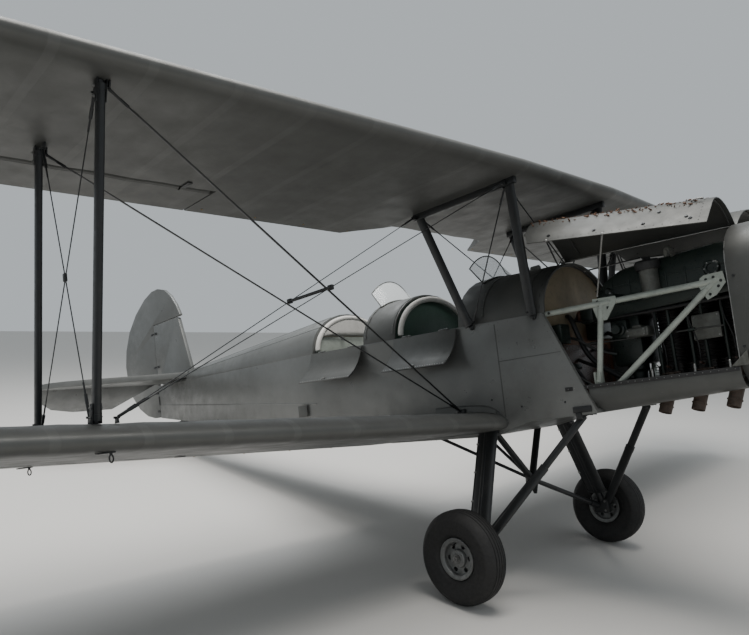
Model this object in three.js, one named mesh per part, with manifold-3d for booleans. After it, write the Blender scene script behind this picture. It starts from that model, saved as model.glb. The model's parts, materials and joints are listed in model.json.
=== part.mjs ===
// Two-seat biplane trainer, parked on its main wheels and tail wheel.
// Millimetres, +Z up, +X forward, +Y to port, on a floor at z = 0.
// Most of it is laid out level in the aircraft's own frame, whose origin is the
// middle of the main axle, and is then pitched nose-up to its parked attitude.
import * as THREE from 'three';
import { mergeVertices } from 'three/addons/utils/BufferGeometryUtils.js';
import Module from 'manifold-3d';

const wasm = await Module();
wasm.setup();

const SEAT = 0.3;              // gap between pieces that touch
const RUN = 6;                 // clearance between moving pieces
const DEG = Math.PI / 180;

// Driving dimensions of the whole aircraft
const PARKED_PITCH = 11.67 * DEG;
const HALF_SPAN = 4190;
const TYRE_RADIUS = 230;
const TYRE_WIDTH = 150;
const TRACK = 1467;

// Wings
const CHORD = 1211;
const SPAR_AFT_OF_NOSE = 126;
const SPAR_SPACING = 614;
const TIP_START = 3620;
const STRUT_STATION = 2384;
const AILERON_FROM = 1565;
const AILERON_TO = 3560;
const AILERON_HINGE = 0.77;
const UPPER = {
  root: 457, spar: 351, z: 1868, rise: Math.tan(2.9 * DEG), sweep: Math.tan(7.29 * DEG), incidence: 0 };
const LOWER = {
  root: 368, spar: -19, z: 585, rise: Math.tan(3.7 * DEG), sweep: Math.tan(4.1 * DEG),
  incidence: Math.tan(1.7 * DEG) };
// Aerofoil: share of the chord from the nose, height of the top, height of the bottom
const AEROFOIL = [
  { at: 0.0125, top: 0.014, bottom: -0.024 },
  { at: 0.05, top: 0.036, bottom: -0.033 },
  { at: 0.104, top: 0.05, bottom: -0.036 },
  { at: 0.2, top: 0.06, bottom: -0.037 },
  { at: 0.35, top: 0.061, bottom: -0.037 },
  { at: 0.5, top: 0.054, bottom: -0.036 },
  { at: 0.65, top: 0.04, bottom: -0.035 },
  { at: 0.77, top: 0.024, bottom: -0.034 },
  { at: 0.88, top: 0.005, bottom: -0.033 },
  { at: 1, top: -0.022, bottom: -0.029 },
];
const NOSE_HEIGHT = -0.006;

// Fuselage
const HALF_WIDTH = 368;
const WALL = 22;
const STERN = -4440;
const STERN_HALF_WIDTH = 26;
const TAPER_FROM = -1437;
const ARCH_HEIGHT = 289;
const DECK_SKIN = 10;
const FIREWALL = 366;
const DECK_FRONT = 397;
const DECK_FRONT_RING = { half: 362, height: 276 };
const FRONT_COCKPIT = { front: -144, back: -639 };
const REAR_COCKPIT = { front: -919, back: -1437 };
const STATIONS = [['front', FRONT_COCKPIT], ['rear', REAR_COCKPIT]];
const FLOOR_Z = 668;
const DECK_END = -3690;
const DECK_END_HEIGHT = 112;
// Belly line: x, z from nose to stern
const BELLY = [[612, 622], [240, 612], [130, 582], [-40, 549], [-760, 552], [STERN, 968]];

// Engine bay
const BEARER_Z = 1135;
const COWL_FRONT = 1212;
const COWL_BACK = 351;
const COWL_BACK_HALF_WIDTH = 380;
const COWL_FRONT_HALF_WIDTH = 245;
const COWL_TOP = { back: 1432, front: 1388 };
const COWL_SHOULDER = 1219;
const COWL_EDGE = 1070;
const COWL_RAISED = -48 * DEG;
const NOSE_FRONT = 1560;
const THRUST_Z = 1195;
const PROPELLER_X = 1622;
const PROPELLER_RADIUS = 1000;
const SPINNER_TIP = 1762;
const SPINNER_RADIUS = 140;

// Tail
const TAILPLANE_Z = 1333;
const TAILPLANE_HINGE = -4360;
const TAILPLANE_HALF_THICK = 26;
const TAILPLANE_HALF_SPAN = 1235;
const ELEVATOR_CHORD = 500;
const ELEVATOR_DROOP = 25 * DEG;
const RUDDER_HINGE = -4472;
const FIN_TOP = 1936;
const RUDDER_FOOT = 976;
const TAIL_WHEEL_RADIUS = 90;

// Undercarriage
const AXLE_RADIUS = 20;
const RIM_RADIUS = 102;
const HUB_BORE = 20.8;
const WHEEL_SIDES = 28;

// Finishes
const paint = (colour, roughness, metalness = 0) => new THREE.MeshStandardMaterial({
  color: colour, roughness, metalness });
const SILVER = paint(0x8d9090, 0.5, 0.3);
const SLATE = paint(0x2b3036, 0.55);
const RUBBER = paint(0x1b1c1e, 0.85);
const ALLOY = paint(0x77797a, 0.45, 0.7);
const BEARER = paint(0x9aa39a, 0.5, 0.2);
const ENGINE = paint(0x1c2421, 0.6, 0.3);
const CREAM = paint(0xb3a27c, 0.8);
const GREEN = paint(0x24382c, 0.7);
const LEATHER = paint(0x3a2a20, 0.7);
const WOOD = paint(0x6a4526, 0.4);
const CLEAR = new THREE.MeshStandardMaterial({
  color: 0xdfe6e8, roughness: 0.1, transparent: true, opacity: 0.35 });

// Solids

const V = (x, y, z) => new THREE.Vector3(x, y, z);

function toSolid(geometry) {
  const bare = geometry.clone();
  bare.deleteAttribute('normal');
  bare.deleteAttribute('uv');
  const merged = mergeVertices(bare, 1e-4);
  return new wasm.Manifold(new wasm.Mesh({
    numProp: 3,
    vertProperties: new Float32Array(merged.attributes.position.array),
    triVerts: new Uint32Array(merged.index.array),
  }));
}

function toGeometry(solid) {
  const mesh = solid.getMesh();
  const geometry = new THREE.BufferGeometry();
  geometry.setAttribute('position', new THREE.BufferAttribute(mesh.vertProperties, 3));
  geometry.setIndex(new THREE.BufferAttribute(mesh.triVerts, 1));
  return geometry;
}

const join = (...solids) => solids.reduce((sum, piece) => sum.add(piece));
const cut = (solid, ...tools) => tools.reduce((rest, tool) => rest.subtract(tool), solid);

// A straight prism: outline points in two axes, between two places on the third.
const PLANES = {
  side: { across: V(1, 0, 0), up: V(0, 0, 1), along: 'y' },
  plan: { across: V(1, 0, 0), up: V(0, 1, 0), along: 'z' },
};

function prism(plane, outline, from, to) {
  const { across, up, along } = PLANES[plane];
  const shape = new THREE.Shape(outline.map(([u, v]) => new THREE.Vector2(u, v)));
  const geometry = new THREE.ExtrudeGeometry(shape, { depth: to - from, bevelEnabled: false });
  const normal = across.clone().cross(up);
  const frame = new THREE.Matrix4().makeBasis(across, up, normal);
  const start = normal[along] > 0 ? from : to;
  frame.setPosition(normal.clone().multiplyScalar(normal[along] * start));
  return toSolid(geometry.applyMatrix4(frame));
}

const block = (x0, x1, y0, y1, z0, z1) =>
  prism('plan', [[x0, y0], [x1, y0], [x1, y1], [x0, y1]], z0, z1);

// A closed body through rings of the same number of points.
function loft(rings) {
  const count = rings[0].length;
  const corners = rings.flat();
  const faces = [];
  for (let r = 0; r + 1 < rings.length; r += 1) {
    for (let i = 0; i < count; i += 1) {
      const j = (i + 1) % count;
      const [a, b, c, d] = [r * count + i, r * count + j, (r + 1) * count + j, (r + 1) * count + i];
      faces.push(a, b, c, a, c, d);
    }
  }
  const caps = capTriangles(rings[0]);
  const last = (rings.length - 1) * count;
  for (const [a, b, c] of caps) faces.push(c, b, a);
  for (const [a, b, c] of capTriangles(rings[rings.length - 1])) {
    faces.push(last + a, last + b, last + c);
  }
  const geometry = new THREE.BufferGeometry().setFromPoints(corners);
  geometry.setIndex(insideOut(corners, faces) ? faces.reverse() : faces);
  return toSolid(geometry);
}

// The cap of a ring, wound the same way round as the ring itself.
function capTriangles(ring) {
  const normal = V(0, 0, 0);
  ring.forEach((p, i) => normal.add(p.clone().cross(ring[(i + 1) % ring.length])));
  const across = ring[1].clone().sub(ring[0]).normalize();
  const up = normal.normalize().clone().cross(across);
  const flat = ring.map((p) => new THREE.Vector2(p.dot(across), p.dot(up)));
  return THREE.ShapeUtils.triangulateShape(flat, []);
}

function insideOut(corners, faces) {
  let volume = 0;
  for (let f = 0; f < faces.length; f += 3) {
    const [a, b, c] = [corners[faces[f]], corners[faces[f + 1]], corners[faces[f + 2]]];
    volume += a.dot(b.clone().cross(c));
  }
  return volume < 0;
}

// Axes for a piece that runs from one point to another, its chord lying near fore-and-aft.
function runFrame(from, to, chordwise = V(1, 0, 0)) {
  const along = to.clone().sub(from).normalize();
  const side = along.clone().cross(chordwise).normalize();
  const chord = side.clone().cross(along).normalize();
  return new THREE.Matrix4().makeBasis(chord, side, along).setPosition(from);
}

function swept(outline, from, to, chordwise) {
  const shape = new THREE.Shape(outline.map(([u, v]) => new THREE.Vector2(u, v)));
  const length = from.distanceTo(to);
  const geometry = new THREE.ExtrudeGeometry(shape, { depth: length, bevelEnabled: false });
  return toSolid(geometry.applyMatrix4(runFrame(from, to, chordwise)));
}

function circle(radius, sides, squash = 1) {
  return Array.from({ length: sides }, (_, i) => {
    const turn = (2 * Math.PI * (i + 0.5)) / sides;
    return [radius * Math.cos(turn), radius * squash * Math.sin(turn)];
  });
}

const rod = (from, to, radius, sides = 8) => swept(circle(radius, sides), from, to, V(0.9, 0.1, 0.2));

// A faired strut: an oval section, its long way fore-and-aft.
const strut = (from, to, chord, thick) => swept(circle(chord / 2, 10, thick / chord), from, to);

// A body turned about the Y axis, from a profile of [radius, y].
function turned(profile, centre, sides = 32) {
  const lathe = new THREE.LatheGeometry(profile.map(([r, y]) => new THREE.Vector2(r, y)), sides);
  return toSolid(lathe.translate(centre.x, centre.y, centre.z));
}

// Hinges: a thin fixed eye on an arm, which sits in a slot of the moving piece.
const EYE = { width: 8, radius: 10 };

function hingeFrame(point, axis, reach) {
  const along = axis.clone().normalize();
  const out = reach.clone().addScaledVector(along, -reach.dot(along)).normalize();
  return new THREE.Matrix4().makeBasis(out, along, out.clone().cross(along)).setPosition(point);
}

function orientedBlock(frame, x0, x1, y0, y1, z0, z1) {
  const geometry = new THREE.BoxGeometry(x1 - x0, y1 - y0, z1 - z0);
  geometry.translate((x0 + x1) / 2, (y0 + y1) / 2, (z0 + z1) / 2);
  return toSolid(geometry.applyMatrix4(frame));
}

function hingeEye(point, axis, reach, armLength, eye = EYE) {
  const frame = hingeFrame(point, axis, reach);
  const disc = new THREE.CylinderGeometry(eye.radius, eye.radius, eye.width, 10).applyMatrix4(frame);
  const half = eye.width / 2;
  const arm = orientedBlock(frame, 0, armLength, -half, half, -eye.radius * 0.9, eye.radius * 0.9);
  return join(toSolid(disc), arm);
}

function hingeSlot(point, axis, reach, deep, tall, eye = EYE) {
  const half = eye.width / 2 + SEAT;
  const back = eye.radius + 4;
  return orientedBlock(hingeFrame(point, axis, reach), -back, deep, -half, half, -tall, tall);
}

// Aircraft frame and the parts list

const aircraft = new THREE.Group();
aircraft.rotation.y = -PARKED_PITCH;
aircraft.position.z = TYRE_RADIUS;
const portSide = new THREE.Group();
portSide.scale.y = -1;
aircraft.add(portSide);

function place(name, solid, material, parent = aircraft) {
  const mesh = new THREE.Mesh(toGeometry(solid), material);
  mesh.name = name;
  parent.add(mesh);
}

// Everything paired is drawn once on the starboard side and mirrored to port.
function pair(name, solid, material) {
  place(`${name}_right`, solid, material);
  place(`${name}_left`, solid, material, portSide);
}

const interpolate = (table, x) => {
  const next = table.findIndex(([at]) => at <= x);
  const [x1, z1] = table[Math.max(next, 1)];
  const [x0, z0] = table[Math.max(next, 1) - 1];
  return z0 + ((x - x0) * (z1 - z0)) / (x1 - x0);
};
const longeronZ = (x) => 1155 - 0.033 * x;
const bellyZ = (x) => interpolate(BELLY, x);
const sideY = (x) => (x > TAPER_FROM ? HALF_WIDTH
  : STERN_HALF_WIDTH + ((HALF_WIDTH - STERN_HALF_WIDTH) * (x - STERN)) / (TAPER_FROM - STERN));

// Wings: every rib lies fore-and-aft, y is negative to starboard

const outboard = (wing, y) => Math.abs(y) - wing.root;
const noseX = (wing, y) => wing.spar + SPAR_AFT_OF_NOSE - Math.max(0, outboard(wing, y)) * wing.sweep;
const planeZ = (wing, y) => wing.z + Math.max(0, outboard(wing, y)) * wing.rise;
// The datum of a rib, tilted nose-up about the trailing edge
const datumZ = (wing, x, y) =>
  planeZ(wing, y) + (CHORD - (noseX(wing, y) - x)) * wing.incidence;

function surfaceZ(wing, x, y, side) {
  const share = (noseX(wing, y) - x) / CHORD;
  const next = Math.max(1, AEROFOIL.findIndex((row) => row.at >= share));
  const [low, high] = [AEROFOIL[next - 1], AEROFOIL[next]];
  const blend = (share - low.at) / (high.at - low.at);
  return datumZ(wing, x, y) + CHORD * (low[side] + blend * (high[side] - low[side]));
}

// One rib outline: nose and trailing edge may be drawn in for the tip, grow moves the skin out.
function rib(wing, y, { nose = 0, tail = 0, grow = 0 } = {}) {
  const chord = CHORD - nose - tail;
  const thin = Math.sqrt(chord / CHORD) * (chord < CHORD ? chord / CHORD : 1);
  const front = noseX(wing, y) - nose;
  const at = (share, height) => {
    const x = front - share * chord;
    return V(x, y, datumZ(wing, x, y) + height);
  };
  const top = AEROFOIL.map((row) => at(row.at, row.top * CHORD * thin + grow));
  const bottom = AEROFOIL.map((row) => at(row.at, row.bottom * CHORD * thin - grow)).reverse();
  const tip = V(front + grow, y, datumZ(wing, front, y) + NOSE_HEIGHT * CHORD * thin);
  return [tip, ...top, ...bottom];
}

function wingPanel(wing, grow = 0) {
  const rings = [rib(wing, -wing.root - SEAT, { grow }), rib(wing, -TIP_START, { grow })];
  for (const share of [0.35, 0.6, 0.8, 0.93, 1]) {
    const y = -(TIP_START + (HALF_SPAN - TIP_START) * share);
    const nose = 0.5 * CHORD * (1 - (1 - share ** 2.3) ** (1 / 2.3)) * 0.94;
    const tail = 0.4 * CHORD * (1 - Math.sqrt(1 - share * share)) * 0.94;
    rings.push(rib(wing, y, { nose, tail, grow }));
  }
  return loft(rings);
}

// A plan-view cut between two stations, from one share of the chord to another, both in mm.
function chordwiseCut(wing, from, to, ahead, behind) {
  const edge = (y, back) => [noseX(wing, y) - back, -y];
  return prism('plan', [edge(from, ahead), edge(to, ahead), edge(to, behind), edge(from, behind)],
    wing.z - 200, wing.z + 500);
}

function aileronAndWing(wing) {
  const full = wingPanel(wing);
  const back = AILERON_HINGE * CHORD;
  const hingeX = (y) => noseX(wing, y) - back;
  const mid = (AILERON_FROM + AILERON_TO) / 2;
  const [up, down] = ['top', 'bottom'].map((side) =>
    surfaceZ(wing, hingeX(mid), mid, side) - planeZ(wing, mid));
  const middle = (up + down) / 2;
  const thick = (up - down) / 2;
  const hinge = (y) => V(hingeX(y), -y, planeZ(wing, y) + middle);
  const axis = hinge(AILERON_TO).sub(hinge(AILERON_FROM));
  const gap = 9;
  const [inner, outer] = [AILERON_FROM + gap, AILERON_TO - gap];
  const cove = chordwiseCut(wing, AILERON_FROM, AILERON_TO, back - thick - RUN, CHORD + 200);
  const rear = full.intersect(chordwiseCut(wing, inner, outer, back, CHORD + 100));
  const roundNose = rod(hinge(inner + 6), hinge(outer - 2), thick - 1, 16);
  let aileron = join(rear, roundNose);
  let panel = cut(full, cove);
  const ahead = V(1, 0, 0);
  for (const share of [0.08, 0.5, 0.92]) {
    const point = hinge(AILERON_FROM + (AILERON_TO - AILERON_FROM) * share);
    panel = join(panel, hingeEye(point, axis, ahead, thick + RUN + 12));
    aileron = cut(aileron, hingeSlot(point, axis, ahead, thick + 20, thick + 20));
  }
  return { panel, aileron };
}

// The trailing edge is cut away over the cockpits.
const CUTOUT = [[-900, -700], [-790, -640], [-500, -425], [-500, 425], [-790, 640], [-900, 700]];
const cutout = prism('plan', CUTOUT, 1700, 2100);

const upperRight = aileronAndWing(UPPER);
const lowerRight = aileronAndWing(LOWER);
pair('upper_wing', cut(upperRight.panel, cutout), SILVER);
pair('lower_wing', lowerRight.panel, SILVER);
pair('aileron_upper', upperRight.aileron, SILVER);
pair('aileron_lower', lowerRight.aileron, SILVER);

const centre = loft([rib(UPPER, -UPPER.root), rib(UPPER, UPPER.root)]);
place('centre_section', cut(centre, cutout), SILVER);

const upperSkin = join(wingPanel(UPPER, SEAT),
  loft([rib(UPPER, -UPPER.root, { grow: SEAT }), rib(UPPER, UPPER.root, { grow: SEAT })]));
const lowerSkin = wingPanel(LOWER, SEAT);

// Interplane struts

const sparX = (wing, y, aft) => wing.spar - Math.max(0, outboard(wing, y)) * wing.sweep - aft;
const sparPoint = (wing, y, aft) =>
  V(sparX(wing, y, aft), -y, datumZ(wing, sparX(wing, y, aft), y));
for (const [name, aft] of [['front', 0], ['rear', SPAR_SPACING]]) {
  const whole = strut(sparPoint(LOWER, STRUT_STATION, aft), sparPoint(UPPER, STRUT_STATION, aft), 86, 32);
  pair(`strut_${name}`, cut(whole, upperSkin, lowerSkin), SLATE);
}

// Cabane: two struts a side, joined by a bar under the centre section's edge

const CABANE = { chord: 56, thick: 26, barZ: 1806 };
const cabaneTopY = UPPER.root - 4;
const CABANE_STRUTS = [{ foot: 342, top: UPPER.spar }, { foot: -48, top: UPPER.spar - SPAR_SPACING }];
let cabane = null;
const cabaneFootY = HALF_WIDTH + 20;
for (const { foot, top } of CABANE_STRUTS) {
  const low = V(foot, -cabaneFootY, longeronZ(foot) - 20);
  const high = V(top, -cabaneTopY, CABANE.barZ + 30);
  const shoe = block(foot - 34, foot + 34, -cabaneFootY - 5, -HALF_WIDTH - SEAT,
    longeronZ(foot) - 60, longeronZ(foot) - 8);
  const leg = join(strut(low, high, CABANE.chord, CABANE.thick), shoe);
  cabane = cabane ? join(cabane, leg) : leg;
}
const bar = block(CABANE_STRUTS[1].top - 30, UPPER.spar + 40, -cabaneTopY - 14, -cabaneTopY + 14,
  CABANE.barZ - 14, CABANE.barZ + 24);
pair('cabane', cut(join(cabane, bar), upperSkin), SLATE);

// Main rigging: flying wires spread from one root fitting, landing wires share a spacer bar

const WIRE = { flying: 5.5, landing: 4 };
const WIRE_TOP = STRUT_STATION - 45;
const ROOT_FITTING_X = -184;
const rootFitting = V(ROOT_FITTING_X, -(HALF_WIDTH + 18),
  surfaceZ(LOWER, ROOT_FITTING_X, LOWER.root + 18, 'top') + 12);
const wireSeat = (wing, y, aft, side, lift) =>
  V(sparX(wing, y, aft), -y, surfaceZ(wing, sparX(wing, y, aft), y, side) + lift);
const lug = (at) => block(at.x - 22, at.x + 22, at.y - 6, at.y + 6, at.z - 26, at.z + 26);

const flyingEnds = [0, SPAR_SPACING].map((aft) => wireSeat(UPPER, WIRE_TOP, aft, 'bottom', -14));
const rootBlock = block(rootFitting.x - 36, rootFitting.x + 30, rootFitting.y - 7, rootFitting.y + 7,
  rootFitting.z - 30, rootFitting.z + 14);
const flying = join(rootBlock, ...flyingEnds.map((end) => rod(rootFitting, end, WIRE.flying)),
  ...flyingEnds.map(lug));
pair('flying_wires', cut(flying, upperSkin, lowerSkin), SLATE);

const cabaneLug = CABANE_STRUTS.map(({ top }) => V(top - 12, -(cabaneTopY + 30), CABANE.barZ - 2));
const LANDING_FOOT = { x: -184, y: 2300 };
const landingFoot = V(LANDING_FOOT.x, -LANDING_FOOT.y,
  surfaceZ(LOWER, LANDING_FOOT.x, LANDING_FOOT.y, 'top') + 14);
const SPACER_SHARES = [0.448, 0.42];
const spacerEnds = cabaneLug.map((start, i) => start.clone().lerp(landingFoot, SPACER_SHARES[i]));
const landing = join(
  ...cabaneLug.map((start) => rod(start, landingFoot, WIRE.landing)),
  lug(landingFoot),
  ...cabaneLug.map(({ x, y, z }) => block(x - 12, x + 12, y - 8, y + 30 - 14 - SEAT, z - 10, z + 10)),
  rod(spacerEnds[0], spacerEnds[1], 8),
);
pair('landing_wires', cut(landing, lowerSkin), SLATE);

// Fuselage: slab sides, open on top over the cockpits, solid behind them

const topLine = [[STERN, longeronZ(STERN)], [386, longeronZ(386)]];
const sideOutline = [...topLine, ...BELLY];
const planOutline = (inset, front, back) => [
  [front, -(HALF_WIDTH - inset)], [front, HALF_WIDTH - inset],
  [TAPER_FROM, HALF_WIDTH - inset], [back, sideY(back) - inset],
  [back, -(sideY(back) - inset)], [TAPER_FROM, -(HALF_WIDTH - inset)],
];
const hull = prism('side', sideOutline, -HALF_WIDTH - 1, HALF_WIDTH + 1)
  .intersect(prism('plan', planOutline(0, 640, STERN), 400, 1500));
const cavityFloor = BELLY.slice(0, 5).map(([x, z]) => [x, z + WALL]);
const cavity = prism('side', [[REAR_COCKPIT.back, 1400], [700, 1400], [700, 640], ...cavityFloor,
  [REAR_COCKPIT.back, bellyZ(REAR_COCKPIT.back) + WALL]], -(HALF_WIDTH - WALL), HALF_WIDTH - WALL);

// Doors: the sides of each cockpit, curved like the decking, hung on the upper longeron

const DOOR = { height: 212, skin: 6, out: 5, lift: 2, open: 177 * DEG, knuckle: 5, gap: 6 };
const doorAxis = V(1, 0, -0.033).normalize();
const doorHinge = (x) => V(x, -(HALF_WIDTH + DOOR.out), longeronZ(x) + DOOR.lift);

function archPoint(x, halfWidth, height, angle, base = 0) {
  return V(x, -halfWidth * Math.cos(angle), longeronZ(x) + base + height * Math.sin(angle));
}

function doorPlate(front, back) {
  const low = 9 / ARCH_HEIGHT;
  const high = Math.asin(DOOR.height / ARCH_HEIGHT);
  const angles = [0, 0.25, 0.5, 0.75, 1].map((t) => low + (high - low) * t);
  const section = (x) => [
    ...angles.map((a) => archPoint(x, HALF_WIDTH, ARCH_HEIGHT, a)),
    ...angles.map((a) => archPoint(x, HALF_WIDTH - DOOR.skin, ARCH_HEIGHT - DOOR.skin, a)).reverse(),
  ];
  return loft([section(front), section(back)]);
}

function turnAbout(solid, point, axis, angle) {
  const matrix = new THREE.Matrix4().makeRotationAxis(axis, angle);
  const carry = new THREE.Matrix4().makeTranslation(point).multiply(matrix)
    .multiply(new THREE.Matrix4().makeTranslation(point.clone().negate()));
  return solid.transform(carry.elements);
}

let fuselage = cut(hull, cavity);
for (const [name, cockpit] of STATIONS) {
  const [front, back] = [cockpit.front - DOOR.gap, cockpit.back + DOOR.gap];
  let door = doorPlate(front, back);
  for (const share of [0.2, 0.8]) {
    const x = back + (front - back) * share;
    const knuckle = (from, to) => rod(doorHinge(x + from), doorHinge(x + to), DOOR.knuckle, 8);
    const leaf = block(x - 14, x + 14, -(HALF_WIDTH + DOOR.out), -(HALF_WIDTH - DOOR.skin),
      longeronZ(x) + 4.5, longeronZ(x) + 14);
    door = join(door, knuckle(-14, 14), leaf);
    for (const [from, to] of [[14 + SEAT, 34], [-34, -14 - SEAT]]) {
      const web = block(x + from, x + to, -(HALF_WIDTH + DOOR.out), -HALF_WIDTH + 1,
        longeronZ(x) - 12, longeronZ(x) - 2);
      fuselage = join(fuselage, knuckle(from, to), web);
    }
  }
  pair(`door_${name}`, turnAbout(door, doorHinge(0), doorAxis, DOOR.open), SILVER);
}
fuselage = join(fuselage, fuselage.mirror([0, 1, 0]));

// The cowl panels' hinge line along the top of the engine bay, and its fixed knuckles

const KNUCKLE = 5;
const cowlHinge = {
  back: V(COWL_BACK, 0, COWL_TOP.back + 4),
  front: V(COWL_FRONT - RUN, 0, COWL_TOP.front + 4),
};
const cowlAxis = cowlHinge.front.clone().sub(cowlHinge.back).normalize();
const fixedKnuckle = (at, outward) => rod(at.clone().addScaledVector(cowlAxis, outward * SEAT),
  at.clone().addScaledVector(cowlAxis, outward * 30), KNUCKLE, 8);
const knuckleSeat = (at, outward) => block(Math.min(at.x + outward * 8, at.x + outward * 28),
  Math.max(at.x + outward * 8, at.x + outward * 28), -4, 4, at.z - 20, at.z);

// Decking: arched skins ahead of and between the cockpits, a solid turtle deck behind

const ARC_STEPS = 14;
// The decking draws in a little towards the engine bay
const deckShare = (x) => Math.max(0, (x - FRONT_COCKPIT.front) / (DECK_FRONT - FRONT_COCKPIT.front));
const deckHeight = (x) => ARCH_HEIGHT - deckShare(x) * (ARCH_HEIGHT - DECK_FRONT_RING.height);
const deckHalf = (x) => HALF_WIDTH - deckShare(x) * (HALF_WIDTH - DECK_FRONT_RING.half);
const arc = (x, inset, height = deckHeight(x), half = deckHalf(x)) =>
  Array.from({ length: ARC_STEPS + 1 }, (_, i) =>
    archPoint(x, half - inset, height - inset, (Math.PI * i) / ARC_STEPS, SEAT));
const archShell = (from, to, skin) => loft([from, to].map((x) => [...arc(x, 0), ...arc(x, skin).reverse()]));

function archPlate(from, to, inset, below, lowHalf) {
  const ring = (x) => [
    V(x, -lowHalf, longeronZ(x) - below), V(x, -lowHalf, longeronZ(x) + 4), ...arc(x, inset).slice(1, -1),
    V(x, lowHalf, longeronZ(x) + 4), V(x, lowHalf, longeronZ(x) - below),
  ];
  return loft([ring(from), ring(to)]);
}

const INSIDE = HALF_WIDTH - WALL - SEAT;
const PANEL_DROP = 70;
place('front_decking', join(archShell(DECK_FRONT, FRONT_COCKPIT.front, DECK_SKIN),
  archPlate(FRONT_COCKPIT.front + 22, FRONT_COCKPIT.front + 14, DECK_SKIN - 2, PANEL_DROP, INSIDE),
  fixedKnuckle(cowlHinge.back, -1), knuckleSeat(cowlHinge.back, -1)), SILVER);
place('mid_decking', join(archShell(FRONT_COCKPIT.back, REAR_COCKPIT.front, DECK_SKIN),
  archPlate(REAR_COCKPIT.front + 22, REAR_COCKPIT.front + 14, DECK_SKIN - 2, PANEL_DROP, INSIDE)),
SILVER);
place('seat_bulkhead', archPlate(FRONT_COCKPIT.back - 16, FRONT_COCKPIT.back - 26, DECK_SKIN + SEAT,
  longeronZ(FRONT_COCKPIT.back) - FLOOR_Z - 20, INSIDE), GREEN);
place('firewall', archPlate(FIREWALL, FIREWALL - 12, DECK_SKIN + SEAT,
  longeronZ(FIREWALL) - bellyZ(FIREWALL) - WALL - 3, INSIDE), CREAM);

const deckRing = (x, height) => arc(x, 0, height, sideY(x));
place('rear_decking', loft([deckRing(REAR_COCKPIT.back, ARCH_HEIGHT),
  deckRing(DECK_END, DECK_END_HEIGHT)]), SILVER);

// Windscreens: curved clear plates that lean aft from the top of each decking

function windscreen(foot, half, rise, rake) {
  const ring = (turn) => {
    const angle = Math.PI / 2 + turn;
    const x = foot - 60 * (1 - Math.cos(turn * 1.2));
    const low = archPoint(x, deckHalf(x) + 1, deckHeight(x) + SEAT + 0.8, angle, SEAT);
    const high = V(low.x - rake, low.y * 0.86, low.z + rise * (1 - 0.25 * (turn / half) ** 2));
    return [low, V(low.x - 4, low.y, low.z), V(high.x - 4, high.y, high.z), high];
  };
  return loft(Array.from({ length: 11 }, (_, i) => ring(half * (i / 5 - 1))));
}
const WINDSCREENS = [['front', -40, 34 * DEG], ['rear', -862, 34 * DEG]];
for (const [name, foot, half] of WINDSCREENS) {
  place(`windscreen_${name}`, windscreen(foot, half, 150, 105), CLEAR);
}

// Cockpit floor with the two sticks and rudder bars it carries, and two bucket seats

const floor = block(REAR_COCKPIT.back + SEAT, FIREWALL - 12 - SEAT, -INSIDE, INSIDE, FLOOR_Z, FLOOR_Z + 12);
let furniture = floor;
for (const [name, cockpit] of STATIONS) {
  const stickX = cockpit.back + 400;
  const stick = rod(V(stickX, 0, FLOOR_Z + 5), V(stickX - 30, 0, FLOOR_Z + 400), 13);
  const rudderBar = block(stickX + 170, stickX + 200, -190, 190, FLOOR_Z + 90, FLOOR_Z + 115);
  const post = block(stickX + 165, stickX + 205, -20, 20, FLOOR_Z + 5, FLOOR_Z + 100);
  furniture = join(furniture, stick, rudderBar, post);
  const seatBack = cockpit.back + (name === 'front' ? 6 : 14);
  const [z0, z1] = [FLOOR_Z + 12 + SEAT, FLOOR_Z + 240];
  const pan = block(seatBack, seatBack + 350, -205, 205, z1, z1 + 30);
  const pedestal = block(seatBack + 40, seatBack + 300, -150, 150, z0, z1 + 5);
  const back = block(seatBack, seatBack + 26, -205, 205, z1, longeronZ(seatBack) - 20);
  const sides = [-205, 187].map((y) => block(seatBack, seatBack + 330, y, y + 18, z1, z1 + 130));
  place(`seat_${name}`, join(pan, pedestal, back, ...sides), LEATHER);
}
place('cockpit_floor', furniture, GREEN);

// Engine: four upright cylinders hung below the crankcase, open to view

const ENGINE_BACK = 560;
const ENGINE_FRONT = 1420;
const CRANKCASE = [[ENGINE_BACK, 1200], [700, 1300], [1150, 1318], [ENGINE_FRONT, 1290],
  [ENGINE_FRONT, 1090], [ENGINE_BACK, 1060]];
const crankcase = prism('side', CRANKCASE, -150, 150);
const CYLINDERS = [0, 1, 2, 3].map((i) => 860 + i * 150);
const FINS = [0, 1, 2, 3, 4].map((i) => 990 - i * 40);
let engine = join(crankcase, rod(V(ENGINE_FRONT - 5, 0, THRUST_Z), V(PROPELLER_X - 52, 0, THRUST_Z), 42, 12),
  block(ENGINE_FRONT - 5, 1490, -95, 95, 1105, 1285), block(420, ENGINE_BACK + 5, -80, 80, 1070, 1190));
// The pumps and magnetos behind the cylinders, and the cooling air duct along their port side
const accessories = join(block(590, 745, -95, 95, 830, 1100), block(615, 700, -135, 135, 960, 1060));
const DUCT = [[745, 100], [1400, 100], [1400, 185]];
engine = join(engine, accessories, prism('plan', DUCT, 770, 1090));
for (const x of CYLINDERS) {
  engine = join(engine, rod(V(x, 0, 1095), V(x, 0, 800), 58, 8), block(x - 66, x + 66, -105, 105, 735, 805),
    ...FINS.map((z) => rod(V(x, 0, z), V(x, 0, z - 9), 76, 8)));
}
const STUBS = CYLINDERS.map((x) => ({ from: V(x + 10, -85, 765), to: V(x - 30, -150, 590) }));
engine = join(engine, ...STUBS.map(({ from, to }) => rod(from, to, 30, 10)));
const FEET = [690, 1150];
const BEARER_Y = { back: 330, front: 222 };
const bearerY = (x) =>
  BEARER_Y.back - ((x - FIREWALL) * (BEARER_Y.back - BEARER_Y.front)) / (1176 - FIREWALL);
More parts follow.
